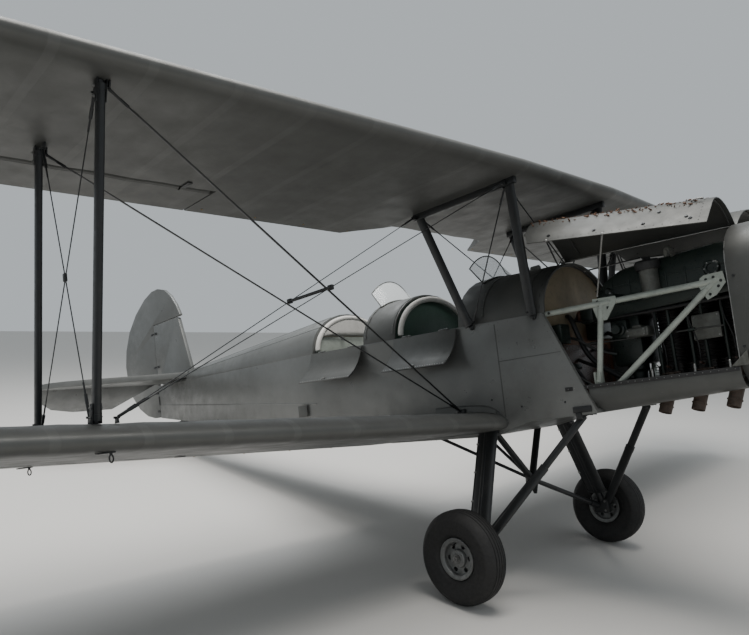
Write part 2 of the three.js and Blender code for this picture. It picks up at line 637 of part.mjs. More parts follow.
for (const x of FEET) {
  const reach = bearerY(x) - 16 - SEAT;
  engine = join(engine, block(x - 26, x + 26, -reach + 5, reach - 5, BEARER_Z + 2, BEARER_Z + 42),
    block(x - 17, x + 17, -reach, reach, BEARER_Z + 2, BEARER_Z + 36));
}

// Engine bearers: a top rail with an upright, a diagonal and gusset plates each side

const rail = (x, z) => V(x, -bearerY(x), z);
const LOW_NODE = { x: 592, z: 668 };
const RAIL = 14;
const GUSSETS = [
  [[625, 1132], [735, 1132], [730, 1112], [680, 1056], [640, 1056]],
  [[1092, 1120], [1100, 1132], [1188, 1132], [1192, 1112], [1148, 1040], [1118, 1045]],
];
let bearer = join(
  rod(rail(FIREWALL + SEAT + 1, BEARER_Z), rail(1182, BEARER_Z), RAIL),
  rod(rail(662, BEARER_Z), rail(LOW_NODE.x, LOW_NODE.z), RAIL),
  rod(rail(1150, BEARER_Z - 5), rail(LOW_NODE.x + 10, LOW_NODE.z), RAIL),
  rod(rail(FIREWALL + SEAT + 1, LOW_NODE.z - 10), rail(LOW_NODE.x + 8, LOW_NODE.z), RAIL),
);
for (const outline of GUSSETS) {
  const y = bearerY(outline[0][0] + 50);
  bearer = join(bearer, prism('side', outline, -y - 8, -y - 3));
}
for (const x of FEET) {
  bearer = join(bearer,
    block(x - 18, x + 18, -bearerY(x) - 13, -bearerY(x) + 16, BEARER_Z - 6, BEARER_Z + 12));
}
const firewallFace = block(FIREWALL - 200, FIREWALL + SEAT, -500, 500, 500, 1400);
pair('engine_bearer', cut(bearer, firewallFace), BEARER);

// Lower cowl, open on top, with a hole round each exhaust stub

const LOWER_COWL = [
  { x: 574, half: 352, floor: 620 },
  { x: COWL_FRONT, half: COWL_FRONT_HALF_WIDTH, floor: 665 },
];
const COWL_LIP = 757;
function trough(row, inset, top) {
  const { x, half, floor: z } = row;
  const corner = 80 - inset / 2;
  const round = Array.from({ length: 6 }, (_, i) => {
    const turn = (Math.PI / 2) * (i / 5);
    return V(x, -(half - inset) + corner * (1 - Math.cos(turn)), z + inset + corner * (1 - Math.sin(turn)));
  });
  const mirrored = round.map((p) => V(p.x, -p.y, p.z)).reverse();
  return [V(x, -(half - inset), top), ...round, ...mirrored, V(x, half - inset, top)];
}
const cowlShell = (rows, lip) => loft(rows.map((row) => [
  ...trough(row, 0, lip), ...trough(row, 5, lip).reverse()]));
const slantGap = SEAT * 1.3;
const slantFront = prism('side', [[300, 1300], [386 + slantGap, longeronZ(386)], [612 + slantGap, 622],
  [612 + slantGap, 500], [300, 500]], -500, 500);
const stubHoles = STUBS.map(({ from, to }) => rod(from, to.clone().lerp(from, -0.3), 38, 12));
place('lower_cowl', cut(cowlShell(LOWER_COWL, COWL_LIP), slantFront, ...stubHoles), SILVER);
place('engine', engine, ENGINE);

// Nose cowl: a hollow shell with a hole for the shaft and an oval air intake

// Sections of the nose: x, half width, bottom and top
const NOSE = [
  { x: COWL_FRONT + SEAT, half: COWL_FRONT_HALF_WIDTH, bottom: 665, top: COWL_TOP.front + 4 },
  { x: 1400, half: 235, bottom: 690, top: 1385 },
  { x: 1500, half: 205, bottom: 750, top: 1370 },
  { x: NOSE_FRONT, half: 150, bottom: 845, top: 1350 },
];
function noseRing({ x, half, bottom, top }, inset) {
  const [w, low, high] = [half - inset, bottom + inset, top - inset];
  const crown = Math.min(w, (high - low) / 2) * 0.98;
  const foot = crown * 0.72;
  const quarter = (cy, cz, ry, rz, from) => Array.from({ length: 6 }, (_, i) => {
    const turn = from + (Math.PI / 2) * (i / 5);
    return V(x, cy + ry * Math.cos(turn), cz + rz * Math.sin(turn));
  });
  return [
    ...quarter(w - crown, high - crown * 0.8, crown, crown * 0.8, 0),
    ...quarter(-(w - crown), high - crown * 0.8, crown, crown * 0.8, Math.PI / 2),
    ...quarter(-(w - foot), low + foot, foot, foot, Math.PI),
    ...quarter(w - foot, low + foot, foot, foot, 1.5 * Math.PI),
  ];
}
const innerNose = NOSE.map((row, i) => noseRing(
  { ...row, x: row.x + (i === 0 ? -1 : 0) - (i === 3 ? 8 : 0) }, 7));
const intake = swept(circle(70, 16, 1.5), V(1450, 0, 945), V(1600, 0, 945), V(0, 0, 1));
const shaftHole = rod(V(1400, 0, THRUST_Z), V(1600, 0, THRUST_Z), 56, 16);
const noseBody = loft(NOSE.map((row) => noseRing(row, 0)));
const noseShell = cut(noseBody, loft(innerNose), intake, shaftHole, ...stubHoles);
const noseKnuckle = join(fixedKnuckle(cowlHinge.front, 1), knuckleSeat(cowlHinge.front, 1));
place('nose_cowl', join(noseShell, noseKnuckle), SILVER);

// Top cowl panels, hinged along the top centre line and raised like wings.
// At each end a fixed knuckle is followed by one of the starboard and one of the port panel.

const COWL_SKIN = 4;
function cowlRing(x, half, top, inset) {
  const rise = top - COWL_SHOULDER - inset;
  const steps = Array.from({ length: 9 }, (_, i) => {
    const turn = (Math.PI / 2) * (1 - i / 8);
    const y = Math.max(KNUCKLE + 3, (half - inset) * Math.cos(turn));
    return V(x, -y, COWL_SHOULDER + rise * Math.sin(turn));
  });
  return [...steps, V(x, -(half - inset), COWL_EDGE)];
}
const panelRing = (x, half, top) => [
  ...cowlRing(x, half, top, 0), ...cowlRing(x, half, top, COWL_SKIN).reverse()];
// Shut, a panel stops short of the foremost cabane strut and of the fuselage's slanted front edge
const strutNotch = block(COWL_BACK - 10, DECK_FRONT - 11, -500, -330, COWL_EDGE - 10, 1320);
const edgeNotch = prism('side', [[COWL_BACK - 10, longeronZ(386)], [386 + RUN + 2, longeronZ(386)],
  [424 + RUN + 2, COWL_EDGE - 10], [COWL_BACK - 10, COWL_EDGE - 10]], -500, -200);
const cowlPlate = cut(loft([
  panelRing(cowlHinge.back.x, COWL_BACK_HALF_WIDTH, COWL_TOP.back),
  panelRing(cowlHinge.front.x, COWL_FRONT_HALF_WIDTH, COWL_TOP.front),
]), strutNotch, edgeNotch);
const KNUCKLE_LENGTH = 24;
const cowlEnds = [{ at: cowlHinge.back, inward: 1 }, { at: cowlHinge.front, inward: -1 }];
for (const [side, order, parent] of [['right', 0, aircraft], ['left', 1, portSide]]) {
  let panel = cowlPlate;
  for (const { at, inward } of cowlEnds) {
    const from = order * (KNUCKLE_LENGTH + SEAT);
    const step = (d) => at.clone().addScaledVector(cowlAxis, inward * d);
    const [near, far] = [step(from), step(from + KNUCKLE_LENGTH)];
    const [x0, x1] = [near.x, far.x].sort((a, b) => a - b);
    panel = join(panel, rod(near, far, KNUCKLE, 8),
      block(x0 + 1, x1 - 1, -KNUCKLE - 8, 0, at.z - 7, at.z - 1.5));
  }
  place(`cowl_panel_${side}`, turnAbout(panel, cowlHinge.back, cowlAxis, COWL_RAISED), SILVER, parent);
}

// Propeller: spinner, hub and two twisted wooden blades

// Blade sections: radius, chord, thickness, angle
const BLADE = [
  { r: 60, chord: 110, thick: 62, angle: 55 }, { r: 200, chord: 130, thick: 42, angle: 48 },
  { r: 450, chord: 162, thick: 26, angle: 30 }, { r: 740, chord: 150, thick: 17, angle: 20 },
  { r: 930, chord: 110, thick: 12, angle: 16 }, { r: PROPELLER_RADIUS, chord: 46, thick: 8, angle: 15 },
];
function bladeRing({ r, chord, thick, angle }, side) {
  const twist = side * angle * DEG;
  return circle(chord / 2, 12, thick / chord).map(([u, v]) => V(
    PROPELLER_X + u * Math.sin(twist) + v * Math.cos(twist), side * r,
    THRUST_Z + u * Math.cos(twist) - v * Math.sin(twist)));
}
const blades = [1, -1].map((side) => loft(BLADE.map((row) => bladeRing(row, side))));
const spinnerProfile = [[0, PROPELLER_X - 52 + SEAT], [SPINNER_RADIUS, PROPELLER_X - 52 + SEAT],
  [SPINNER_RADIUS, PROPELLER_X + 25], [118, 1686], [75, 1732], [30, 1757], [0, SPINNER_TIP]];
const spinnerLathe = new THREE.LatheGeometry(spinnerProfile.map(([r, x]) => new THREE.Vector2(r, x)), 32);
const spinner = toSolid(spinnerLathe.rotateZ(-Math.PI / 2).translate(0, 0, THRUST_Z));
place('propeller', join(spinner, ...blades), WOOD);

// Tailplane, elevators on one torque tube, fin and rudder

// Starboard half of the tailplane's plan: x, y
const STAB_PLAN = [
  [DECK_END - 10, 0], [DECK_END - 10, -96], [-3760, -200], [-4010, -900], [-4100, -1080],
  [-4210, -1190], [TAILPLANE_HINGE + 20, -TAILPLANE_HALF_SPAN],
];
const stabOutline = [...STAB_PLAN, ...STAB_PLAN.slice(1).reverse().map(([x, y]) => [x, -y])];
const tailplaneTop = TAILPLANE_Z + TAILPLANE_HALF_THICK;
const stab = prism('plan', stabOutline, TAILPLANE_Z - TAILPLANE_HALF_THICK, tailplaneTop);
const elevatorNose = TAILPLANE_HALF_THICK - 6;
const tailCove = block(TAILPLANE_HINGE - 300, TAILPLANE_HINGE + elevatorNose + RUN,
  -1300, 1300, 1200, 1500);
// Starboard elevator's plan, behind the hinge line
const ELEVATOR_PLAN = [
  [TAILPLANE_HINGE, -95], [TAILPLANE_HINGE, -1228], [TAILPLANE_HINGE - 120, -1215],
  [TAILPLANE_HINGE - 300, -1120], [TAILPLANE_HINGE - 420, -1010], [TAILPLANE_HINGE - ELEVATOR_CHORD, -780],
  [TAILPLANE_HINGE - ELEVATOR_CHORD, -380],
];
const elevatorEdge = TAILPLANE_HINGE - ELEVATOR_CHORD - 1;
const wedge = prism('side', [
  [TAILPLANE_HINGE, TAILPLANE_Z + elevatorNose], [TAILPLANE_HINGE, TAILPLANE_Z - elevatorNose],
  [elevatorEdge, TAILPLANE_Z - 4], [elevatorEdge, TAILPLANE_Z + 4]], -1300, 1300);
const elevatorAxis = V(0, 1, 0);
const elevatorHinge = (y) => V(TAILPLANE_HINGE, y, TAILPLANE_Z);
const leaf = prism('plan', ELEVATOR_PLAN, 1200, 1500).intersect(wedge);
const elevatorHalf = join(leaf, rod(elevatorHinge(-1226), elevatorHinge(-97), elevatorNose, 16));
let tailplane = cut(stab, tailCove);
let elevator = join(elevatorHalf, elevatorHalf.mirror([0, 1, 0]),
  rod(elevatorHinge(-120), elevatorHinge(120), 13, 12));
for (const y of [-1080, -600, -150, 150, 600, 1080]) {
  tailplane = join(tailplane,
    hingeEye(elevatorHinge(y), elevatorAxis, V(1, 0, 0), elevatorNose + RUN + 10));
  elevator = cut(elevator, hingeSlot(elevatorHinge(y), elevatorAxis, V(1, 0, 0), 40, 40));
}
const saddle = block(TAILPLANE_HINGE + 40, DECK_END - 12, -34, 34, longeronZ(DECK_END) - 20, TAILPLANE_Z);
const sternTop = prism('side', [[STERN - 100, longeronZ(STERN - 100) + SEAT], [STERN - 100, 1200],
  [DECK_END + 100, 1200], [DECK_END + 100, longeronZ(DECK_END + 100) + SEAT]], -200, 200);
place('tailplane', cut(join(tailplane, saddle), sternTop), SILVER);
place('elevator', turnAbout(elevator, elevatorHinge(0), elevatorAxis, -ELEVATOR_DROOP), SILVER);

const FIN_OUTLINE = [
  [DECK_END - 47, tailplaneTop + SEAT], [-3742, 1392], [-3916, FIN_TOP - 10], [-3935, FIN_TOP],
  [RUDDER_HINGE + 22, FIN_TOP], [RUDDER_HINGE + 22, tailplaneTop + SEAT],
];
const finBase = (x, half, top) => [-1, -0.8, -0.35, 0.35, 0.8, 1].map((share) =>
  V(x, share * half, tailplaneTop + SEAT + (top - tailplaneTop) * (1 - share ** 4)));
const fairing = loft([finBase(DECK_END - 4, 88, 1390), finBase(-4370, 30, 1372)]);
let fin = join(prism('side', FIN_OUTLINE, -17, 17), fairing);

// Rudder outline: hinge foot, up the hinge, round the balance horn and down the trailing edge
const RUDDER_OUTLINE = [
  [RUDDER_HINGE, RUDDER_FOOT], [RUDDER_HINGE, FIN_TOP + 10], [-3885, FIN_TOP + 10], [-3878, FIN_TOP + 22],
  [-3945, 2070], [-4040, 2180], [-4160, 2262], [-4300, 2302], [-4440, 2300], [-4620, 2250], [-4850, 2130],
  [-5040, 1970], [-5160, 1780], [-5205, 1600], [-5180, 1420], [-5090, 1240], [-4940, 1100], [-4760, 1010],
  [-4600, RUDDER_FOOT],
];
const rudderNose = 15;
const rudderHinge = (z) => V(RUDDER_HINGE, 0, z);
let rudder = join(prism('side', RUDDER_OUTLINE, -rudderNose, rudderNose),
  rod(rudderHinge(RUDDER_FOOT), rudderHinge(FIN_TOP + 20), rudderNose, 16));
const sternEyes = [];
for (const [z, carrier] of [[1040, 'stern'], [1230, 'stern'], [1500, 'fin'], [1850, 'fin']]) {
  rudder = cut(rudder, hingeSlot(rudderHinge(z), V(0, 0, 1), V(1, 0, 0), 40, 40));
  const eye = hingeEye(rudderHinge(z), V(0, 0, 1), V(1, 0, 0), 34);
  if (carrier === 'fin') fin = join(fin, eye);
  else sternEyes.push(eye);
}
place('fuselage', join(fuselage, ...sternEyes), SILVER);
place('fin', fin, SILVER);
place('rudder', rudder, SILVER);

// Tail spring under the stern, and a castoring fork that stands upright on the floor

const parked = new THREE.Group();
const tailToWorld = (p) => p.clone().applyAxisAngle(V(0, 1, 0), -PARKED_PITCH).add(V(0, 0, TYRE_RADIUS));
const springEnd = tailToWorld(V(-4480, 0, 905));
const springOutline = [[-3800, bellyZ(-3800) - SEAT], [-3800, bellyZ(-3800) - 14], [-4505, 893],
  [-4505, 907], [-4060, 905], [-3990, bellyZ(-3990) - 0.6]];
place('tail_spring', prism('side', springOutline, -27, 27), SLATE);

const wheelTop = 2 * TAIL_WHEEL_RADIUS;
const tailAxle = V(springEnd.x - 42, 0, TAIL_WHEEL_RADIUS);
const springUnder = tailToWorld(V(-4505, 0, 893)).z;
const forkCrown = block(springEnd.x - 60, springEnd.x + 24, -34, 34, wheelTop + RUN, springUnder - SEAT);
const forkArms = [-34, 27].map((y) => block(tailAxle.x - 14, springEnd.x + 10, y, y + 7,
  TAIL_WHEEL_RADIUS - 14, wheelTop + RUN + 1));
const tailPin = rod(V(tailAxle.x, -33, tailAxle.z), V(tailAxle.x, 33, tailAxle.z), 8, 12);
place('tail_fork', join(forkCrown, ...forkArms, tailPin), SLATE, parked);
const tailTyre = [[9, -19], [60, -20], [80, -18], [88, -10], [TAIL_WHEEL_RADIUS, 0],
  [88, 10], [80, 18], [60, 20], [9, 19], [9, -19]];
place('tail_wheel', turned(tailTyre, tailAxle, 28), RUBBER, parked);

// Main undercarriage

const LEG = { chord: 118, thick: 44 };
const wheelY = TRACK / 2;
const inner = wheelY - TYRE_WIDTH / 2 - RUN;
const legTop = V(-20, -372, 600);
const legFoot = V(22, -(inner - 24), 40);
const rodTop = V(545, -330, 640);
const rodFoot = V(60, -(inner - 26), 40);
const knuckle = block(-34, 74, -inner, -(inner - 46), -30, 66);
const bellyOutline = [...BELLY.map(([x, z]) => [x, z - SEAT]), [STERN, 1300], [612, 1300]];
const underBelly = join(
  prism('side', bellyOutline, -HALF_WIDTH - SEAT, HALF_WIDTH + SEAT), lowerSkin, lowerSkin.mirror([0, 1, 0]));
const legSolid = join(strut(legFoot, legTop, LEG.chord, LEG.thick), strut(rodFoot, rodTop, 46, 26), knuckle,
  rod(V(0, -inner + 10, 0), V(0, -(wheelY + 46), 0), AXLE_RADIUS, 24));
pair('gear_leg', cut(legSolid, underBelly), SLATE);

const apex = V(-45, 0, 272);
const halfAxleEnd = V(0, -(inner - 46 - SEAT), 22);
const frameSide = join(rod(apex, V(-100, -215, 640), 20), rod(apex, V(-520, -205, 640), 9),
  rod(apex, halfAxleEnd, 14));
const gearFrame = join(frameSide, frameSide.mirror([0, 1, 0]), block(-75, -15, -26, 26, 245, 300));
const kneeFace = block(-200, 200, -900, -(inner - 46 - SEAT), -60, 90);
place('gear_frame', cut(gearFrame, underBelly, kneeFace, kneeFace.mirror([0, 1, 0])), SLATE);

// Wheels: a tyre round a dished hub that turns on the stub axle

const crown = TYRE_WIDTH / 2;
const tyreProfile = [
  [RIM_RADIUS + SEAT, -44], [118, -58], [140, -70], [165, -crown], [195, -68], [216, -50], [227, -26],
  [TYRE_RADIUS, 0], [227, 26], [216, 50], [195, 68], [165, crown], [140, 70], [118, 58],
  [RIM_RADIUS + SEAT, 44], [RIM_RADIUS + SEAT, -44],
];
const hubProfile = [
  [HUB_BORE, -46], [42, -46], [46, -20], [92, -12], [92, -52], [100, -54], [RIM_RADIUS, -44],
  [RIM_RADIUS, 44], [100, 54], [92, 52], [92, 12], [46, 20], [42, 46], [HUB_BORE, 46], [HUB_BORE, -46],
];
pair('tyre', turned(tyreProfile, V(0, -wheelY, 0), WHEEL_SIDES), RUBBER);
pair('wheel_hub', turned(hubProfile, V(0, -wheelY, 0), WHEEL_SIDES), ALLOY);

// The whole, with its bounding box centred on the origin's upright

const biplane = new THREE.Group();
biplane.add(aircraft, parked);
biplane.updateMatrixWorld(true);
const box = new THREE.Box3().setFromObject(biplane, true);
biplane.position.x = -(box.min.x + box.max.x) / 2;
biplane.updateMatrixWorld(true);

export default biplane;
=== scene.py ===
"""A two-seat training biplane with its engine uncovered, dressed for a plain studio picture."""

import json
import logging
import random
from collections.abc import Callable
from dataclasses import dataclass, field
from enum import Enum
from math import asin, ceil, copysign, cos, floor, fmod, pi, radians, sin, sqrt, tan
from typing import Self

import bmesh
import bpy
from bmesh import ops
from mathutils import Matrix, Vector

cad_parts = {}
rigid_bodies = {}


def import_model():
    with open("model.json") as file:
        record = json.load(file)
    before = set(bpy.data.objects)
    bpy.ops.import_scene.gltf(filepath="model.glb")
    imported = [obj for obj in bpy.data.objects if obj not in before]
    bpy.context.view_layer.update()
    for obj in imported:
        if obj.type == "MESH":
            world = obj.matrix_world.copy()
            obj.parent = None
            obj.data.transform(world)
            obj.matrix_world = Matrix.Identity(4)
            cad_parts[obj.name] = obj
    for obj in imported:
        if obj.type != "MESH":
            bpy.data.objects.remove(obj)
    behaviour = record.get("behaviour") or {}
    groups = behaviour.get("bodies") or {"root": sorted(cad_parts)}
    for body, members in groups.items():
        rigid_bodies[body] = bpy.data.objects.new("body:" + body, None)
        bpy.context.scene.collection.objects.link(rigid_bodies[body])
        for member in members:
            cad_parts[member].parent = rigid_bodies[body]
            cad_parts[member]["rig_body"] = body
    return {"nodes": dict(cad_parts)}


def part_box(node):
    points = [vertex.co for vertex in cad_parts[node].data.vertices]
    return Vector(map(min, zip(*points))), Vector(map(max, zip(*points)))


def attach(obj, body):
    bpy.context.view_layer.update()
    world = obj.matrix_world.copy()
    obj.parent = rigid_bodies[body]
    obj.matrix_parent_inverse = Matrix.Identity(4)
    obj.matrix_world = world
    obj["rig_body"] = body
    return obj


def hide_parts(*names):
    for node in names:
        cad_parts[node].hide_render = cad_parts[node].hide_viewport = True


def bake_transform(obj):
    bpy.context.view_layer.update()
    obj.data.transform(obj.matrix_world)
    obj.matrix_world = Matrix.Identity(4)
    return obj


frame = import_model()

LOG = logging.getLogger("biplane")
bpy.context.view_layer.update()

# The aircraft's own frame: origin in the middle of the axle, x forward, z up, in metres.
PARKED_PITCH = radians(11.67)
_tyre_low, _tyre_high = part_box("tyre_right")
AXLE = Vector(((_tyre_low.x + _tyre_high.x) / 2, 0.0, (_tyre_low.z + _tyre_high.z) / 2))
AIRCRAFT = Matrix.Translation(AXLE) @ Matrix.Rotation(-PARKED_PITCH, 4, "Y")
LEVEL = Matrix.Identity(4)
FORE, LEFT, UP = (Vector(axis).freeze() for axis in ((1, 0, 0), (0, 1, 0), (0, 0, 1)))
AFT, RIGHT, DOWN = ((-axis).freeze() for axis in (FORE, LEFT, UP))
MIRROR = Matrix.Diagonal((1.0, -1.0, 1.0, 1.0))

Colour = tuple[float, float, float]
Point = tuple[float, float, float]
Outline = list[tuple[float, float]]
Socket = bpy.types.NodeSocket


class Graph:
  """A material's node tree, built one node at a time."""

  def __init__(self, name: str) -> None:
    """Start a material with its shader and its object coordinates."""
    self.material = bpy.data.materials.new(name)
    self.material.use_nodes = True
    self.tree = self.material.node_tree
    self.shader = self.tree.nodes["Principled BSDF"]
    self.place = self.add("ShaderNodeTexCoord").outputs["Object"]

  def add(self, kind: str, inputs: dict | None = None, **settings) -> bpy.types.Node:
    """Add one node.

    Args:
      kind: the node's type name.
      inputs: socket name or number, to a value or to a socket that feeds it.
      settings: properties of the node itself.

    Returns:
      The new node.
    """
    node = self.tree.nodes.new(kind)
    for key, value in settings.items():
      setattr(node, key, value)
    for key, value in (inputs or {}).items():
      self.feed(node.inputs[key], value)
    return node

  def feed(self, socket: Socket, value: object) -> None:
    """Link a socket to another one, or set it to a plain value."""
    if isinstance(value, Socket):
      self.tree.links.new(value, socket)
    else:
      socket.default_value = value

  def stretch(self, scale: Point) -> Socket:
    """Object coordinates, stretched by a scale for each axis."""
    return self.add("ShaderNodeMapping", {"Vector": self.place, "Scale": scale}).outputs[0]

  def noise(self, scale: float, detail: float = 4.0, rough: float = 0.6,
      where: Socket | None = None) -> Socket:
    """A cloudy pattern from 0 to 1, with so many clouds to the metre."""
    values = {"Vector": where or self.place, "Scale": scale, "Detail": detail, "Roughness": rough}
    return self.add("ShaderNodeTexNoise", values).outputs["Fac"]

  def band(self, value: Socket, low: float, high: float, to_low: float = 0.0, to_high: float = 1.0) -> Socket:
    """Map a value from one range to another, held at both ends."""
    return self.add("ShaderNodeMapRange", {"Value": value, "From Min": low, "From Max": high,
        "To Min": to_low, "To Max": to_high}).outputs[0]

  def sum(self, kind: str, first: object, second: object = 0.0) -> Socket:
    """One step of arithmetic, named by Blender's word for it."""
    return self.add("ShaderNodeMath", {0: first, 1: second}, operation=kind).outputs[0]

  def mix(self, low: object, high: object, share: object) -> Socket:
    """Blend two colours by a share from 0 to 1."""
    node = self.add("ShaderNodeMix", data_type="RGBA")
    for socket, value in ((node.inputs[6], low), (node.inputs[7], high), (node.inputs[0], share)):
      self.feed(socket, (*value, 1.0) if isinstance(value, tuple) else value)
    return node.outputs[2]

  def axis(self, name: str) -> Socket:
    """One of the object coordinates, X, Y or Z."""
    return self.add("ShaderNodeSeparateXYZ", {0: self.place}).outputs[name]

  def bump(self, height: Socket, depth: float, after: object = None) -> Socket:
    """Turn a height pattern into a normal, with the depth of the relief in metres."""
    node = self.add("ShaderNodeBump", {"Height": height, "Distance": depth, "Strength": 1.0})
    if after is not None:
      self.feed(node.inputs["Normal"], after)
    return node.outputs[0]

  def shade(self, **values) -> None:
    """Feed the shader's sockets, whose names have underscores here for spaces."""
    for key, value in values.items():
      value = (*value, 1.0) if isinstance(value, tuple) and len(value) == 3 else value
      self.feed(self.shader.inputs[key.replace("_", " ")], value)


@dataclass(frozen=True)
class Finish:
  """A worn painted or bare surface.

  Two tones lie in clouds over each other, fine grain roughens them, dirt gathers in patches, and
  the surface under the paint shows through small scratches.
  """

  name: str
  slot: str
  colour: Colour
  second: Colour
  roughness: float = 0.5
  metallic: float = 0.0
  clouds: float = 2.5
  grain: float = 180.0
  relief: float = 0.0002
  dirt: Colour = (0.05, 0.045, 0.04)
  dirtiness: float = 0.25
  bare: Colour = (0.45, 0.45, 0.44)
  scratches: float = 0.0
  coat: float = 0.0

  def material(self) -> bpy.types.Material:
    """The finish as a material, made once."""
    made = bpy.data.materials.get(self.name)
    return made or self.build()

  def tones(self, graph: Graph) -> Socket:
    """The colour before dirt and scratches."""
    return graph.mix(self.colour, self.second, graph.band(graph.noise(self.clouds, 6.0, 0.62), 0.32, 0.68))

  def height(self, graph: Graph) -> Socket:
    """The fine relief of the surface."""
    return graph.noise(self.grain, 3.0, 0.7)

  def build(self) -> bpy.types.Material:
    """Lay the tones, dirt, scratches and grain over one shader."""
    graph = Graph(self.name)
    colour = self.tones(graph)
    patches = graph.band(graph.noise(self.clouds * 5.0, 8.0, 0.72), 0.52, 0.8, 0.0, self.dirtiness)
    colour = graph.mix(colour, self.dirt, patches)
    if self.scratches:
      streaks = graph.noise(38.0, 8.0, 0.8, graph.stretch((1.0, 3.0, 3.0)))
      worn = graph.band(streaks, 0.7 - self.scratches * 0.1, 0.72, 0.0, 0.9)
      colour = graph.mix(colour, self.bare, worn)
    rough = graph.band(graph.noise(self.clouds * 7.0, 5.0), 0.3, 0.75, max(0.05, self.roughness - 0.09),
        min(1.0, self.roughness + 0.12))
    graph.shade(Base_Color=colour, Roughness=rough, Metallic=self.metallic, Coat_Weight=self.coat,
        Coat_Roughness=0.2, Normal=graph.bump(self.height(graph), self.relief))
    return graph.material


@dataclass(frozen=True)
class DopedFabric(Finish):
  """Silver dope on fabric: its weave, and tapes sewn over the ribs where they run fore and aft."""

  rib_spacing: float = 0.0
  first_rib: float = 0.0
  tape_width: float = 0.034

  def tape(self, graph: Graph) -> Socket:
    """1 on a rib tape and 0 between the tapes."""
    span = graph.sum("ABSOLUTE", graph.axis("Y"))
    step = graph.sum("DIVIDE", graph.sum("SUBTRACT", span, self.first_rib), self.rib_spacing)
    away = graph.sum("PINGPONG", graph.sum("ADD", step, 0.0), 0.5)
    edge = self.tape_width / 2 / self.rib_spacing
    return graph.band(away, edge * 0.9, edge * 1.1, 1.0, 0.0)

  def tones(self, graph: Graph) -> Socket:
    """Clouded dope with faint streaks fore and aft, and a painted highlight that makes it a little paler
    along the rib tapes.
    """
    base = super().tones(graph)
    streak = graph.band(graph.noise(3.0, 5.0, 0.6, graph.stretch((0.35, 6.0, 2.0))), 0.4, 0.75, 0.0, 0.35)
    base = graph.mix(base, self.dirt, graph.sum("MULTIPLY", streak, 0.35))
    if not self.rib_spacing:
      return base
    # painted highlight: the rib tapes are made paler, standing for light catching the ribs
    pale = tuple(min(1.0, c * 1.16) for c in self.colour)
    return graph.mix(base, pale, graph.sum("MULTIPLY", self.tape(graph), 0.4))

  def height(self, graph: Graph) -> Socket:
    """Weave, with the tapes standing a little proud."""
    weave = graph.noise(self.grain, 2.0, 0.6)
    if not self.rib_spacing:
      return weave
    return graph.sum("ADD", weave, graph.sum("MULTIPLY", self.tape(graph), 2.5))


@dataclass(frozen=True)
class StainedAndShadedSheet(Finish):
  """Sheet that is clean above a line and rust-brown below it: real rust, darkened there by painted shade as
  well.
  """

  stain_and_shade: Colour = (0.16, 0.07, 0.035)
  line: float = 1.0
  depth: float = 0.25

  def tones(self, graph: Graph) -> Socket:
    """Clouded paint that gives way to rust-brown with painted shade, along a ragged line."""
    ragged = graph.sum("MULTIPLY", graph.noise(7.0, 6.0, 0.7), 0.22)
    level = graph.sum("ADD", graph.axis("Z"), ragged)
    low = graph.band(level, self.line - self.depth / 2, self.line + self.depth / 2, 1.0, 0.0)
    return graph.mix(super().tones(graph), self.stain_and_shade, low)


@dataclass(frozen=True)
class LaminatedWood(Finish):
  """Varnished laminations that run along the blades."""

  def tones(self, graph: Graph) -> Socket:
    """Glued layers a finger thick, with the grain drawn out along the span."""
    layer = graph.sum("PINGPONG", graph.sum("MULTIPLY", graph.axis("X"), 45.0), 1.0)
    fibre = graph.noise(9.0, 9.0, 0.7, graph.stretch((14.0, 0.6, 14.0)))
    base = graph.mix(self.colour, self.second, graph.band(layer, 0.35, 0.65))
    dark = tuple(c * 0.45 for c in self.colour)
    return graph.mix(base, dark, graph.band(fibre, 0.48, 0.75, 0.0, 0.8))


@dataclass(frozen=True)
class ClearSheet(Finish):
  """Clear sheet with fine scratches."""

  def build(self) -> bpy.types.Material:
    """A thin see-through shader that is hazy where it is scratched."""
    graph = Graph(self.name)
    haze = graph.band(graph.noise(60.0, 6.0, 0.75), 0.45, 0.8, 0.05, 0.3)
    graph.shade(Base_Color=self.colour, Roughness=haze, Alpha=0.28, IOR=1.49,
        Normal=graph.bump(graph.noise(3.0, 2.0), self.relief))
    return graph.material


# Every finish of the aircraft.
SILVER = DopedFabric("silver_fabric", "silver_dope", (0.17, 0.174, 0.169), (0.122, 0.126, 0.121), 0.36, 0.45,
    1.4, 900.0, 0.00012, dirtiness=0.28)
# The wings' silver dope is darker than the fuselage's: painted shade on every wing, for the shade the upper
# wing casts on the lower one.
WING_SHADED = DopedFabric("silver_wing_fabric_shaded", "silver_dope", (0.112, 0.114, 0.109), (0.084, 0.086, 0.081), 0.5,
    0.3, 1.1, 900.0, 0.00012, dirtiness=0.26, rib_spacing=0.3, first_rib=0.457)
METAL = Finish("silver_sheet", "silver_dope", (0.088, 0.09, 0.086), (0.064, 0.066, 0.062), 0.5, 0.35, 2.2,
    260.0, 0.00012, dirtiness=0.34, scratches=0.3)
SLATE = Finish("slate_paint_worn", "slate_paint", (0.0095, 0.0105, 0.0115), (0.017, 0.0185, 0.0195), 0.4, 0.1,
    5.0, 300.0, 0.00015, dirt=(0.09, 0.08, 0.065), dirtiness=0.22, bare=(0.2, 0.2, 0.19), scratches=0.2)
TYRE = Finish("tyre_black", "tyre_rubber", (0.008, 0.008, 0.0085), (0.014, 0.0135, 0.013), 0.72, 0.0, 9.0,
    500.0, 0.0003, dirt=(0.06, 0.052, 0.042), dirtiness=0.14)
RIM = Finish("rim_grey", "wheel_alloy", (0.21, 0.215, 0.21), (0.11, 0.112, 0.112), 0.45, 0.5, 14.0, 400.0,
    0.0002, dirtiness=0.7, scratches=0.4)
BEARER = Finish("bearer_grey_green", "bearer_paint", (0.36, 0.39, 0.35), (0.26, 0.285, 0.255), 0.36, 0.05,
    9.0, 300.0, 0.0002, dirtiness=0.5, scratches=0.15)
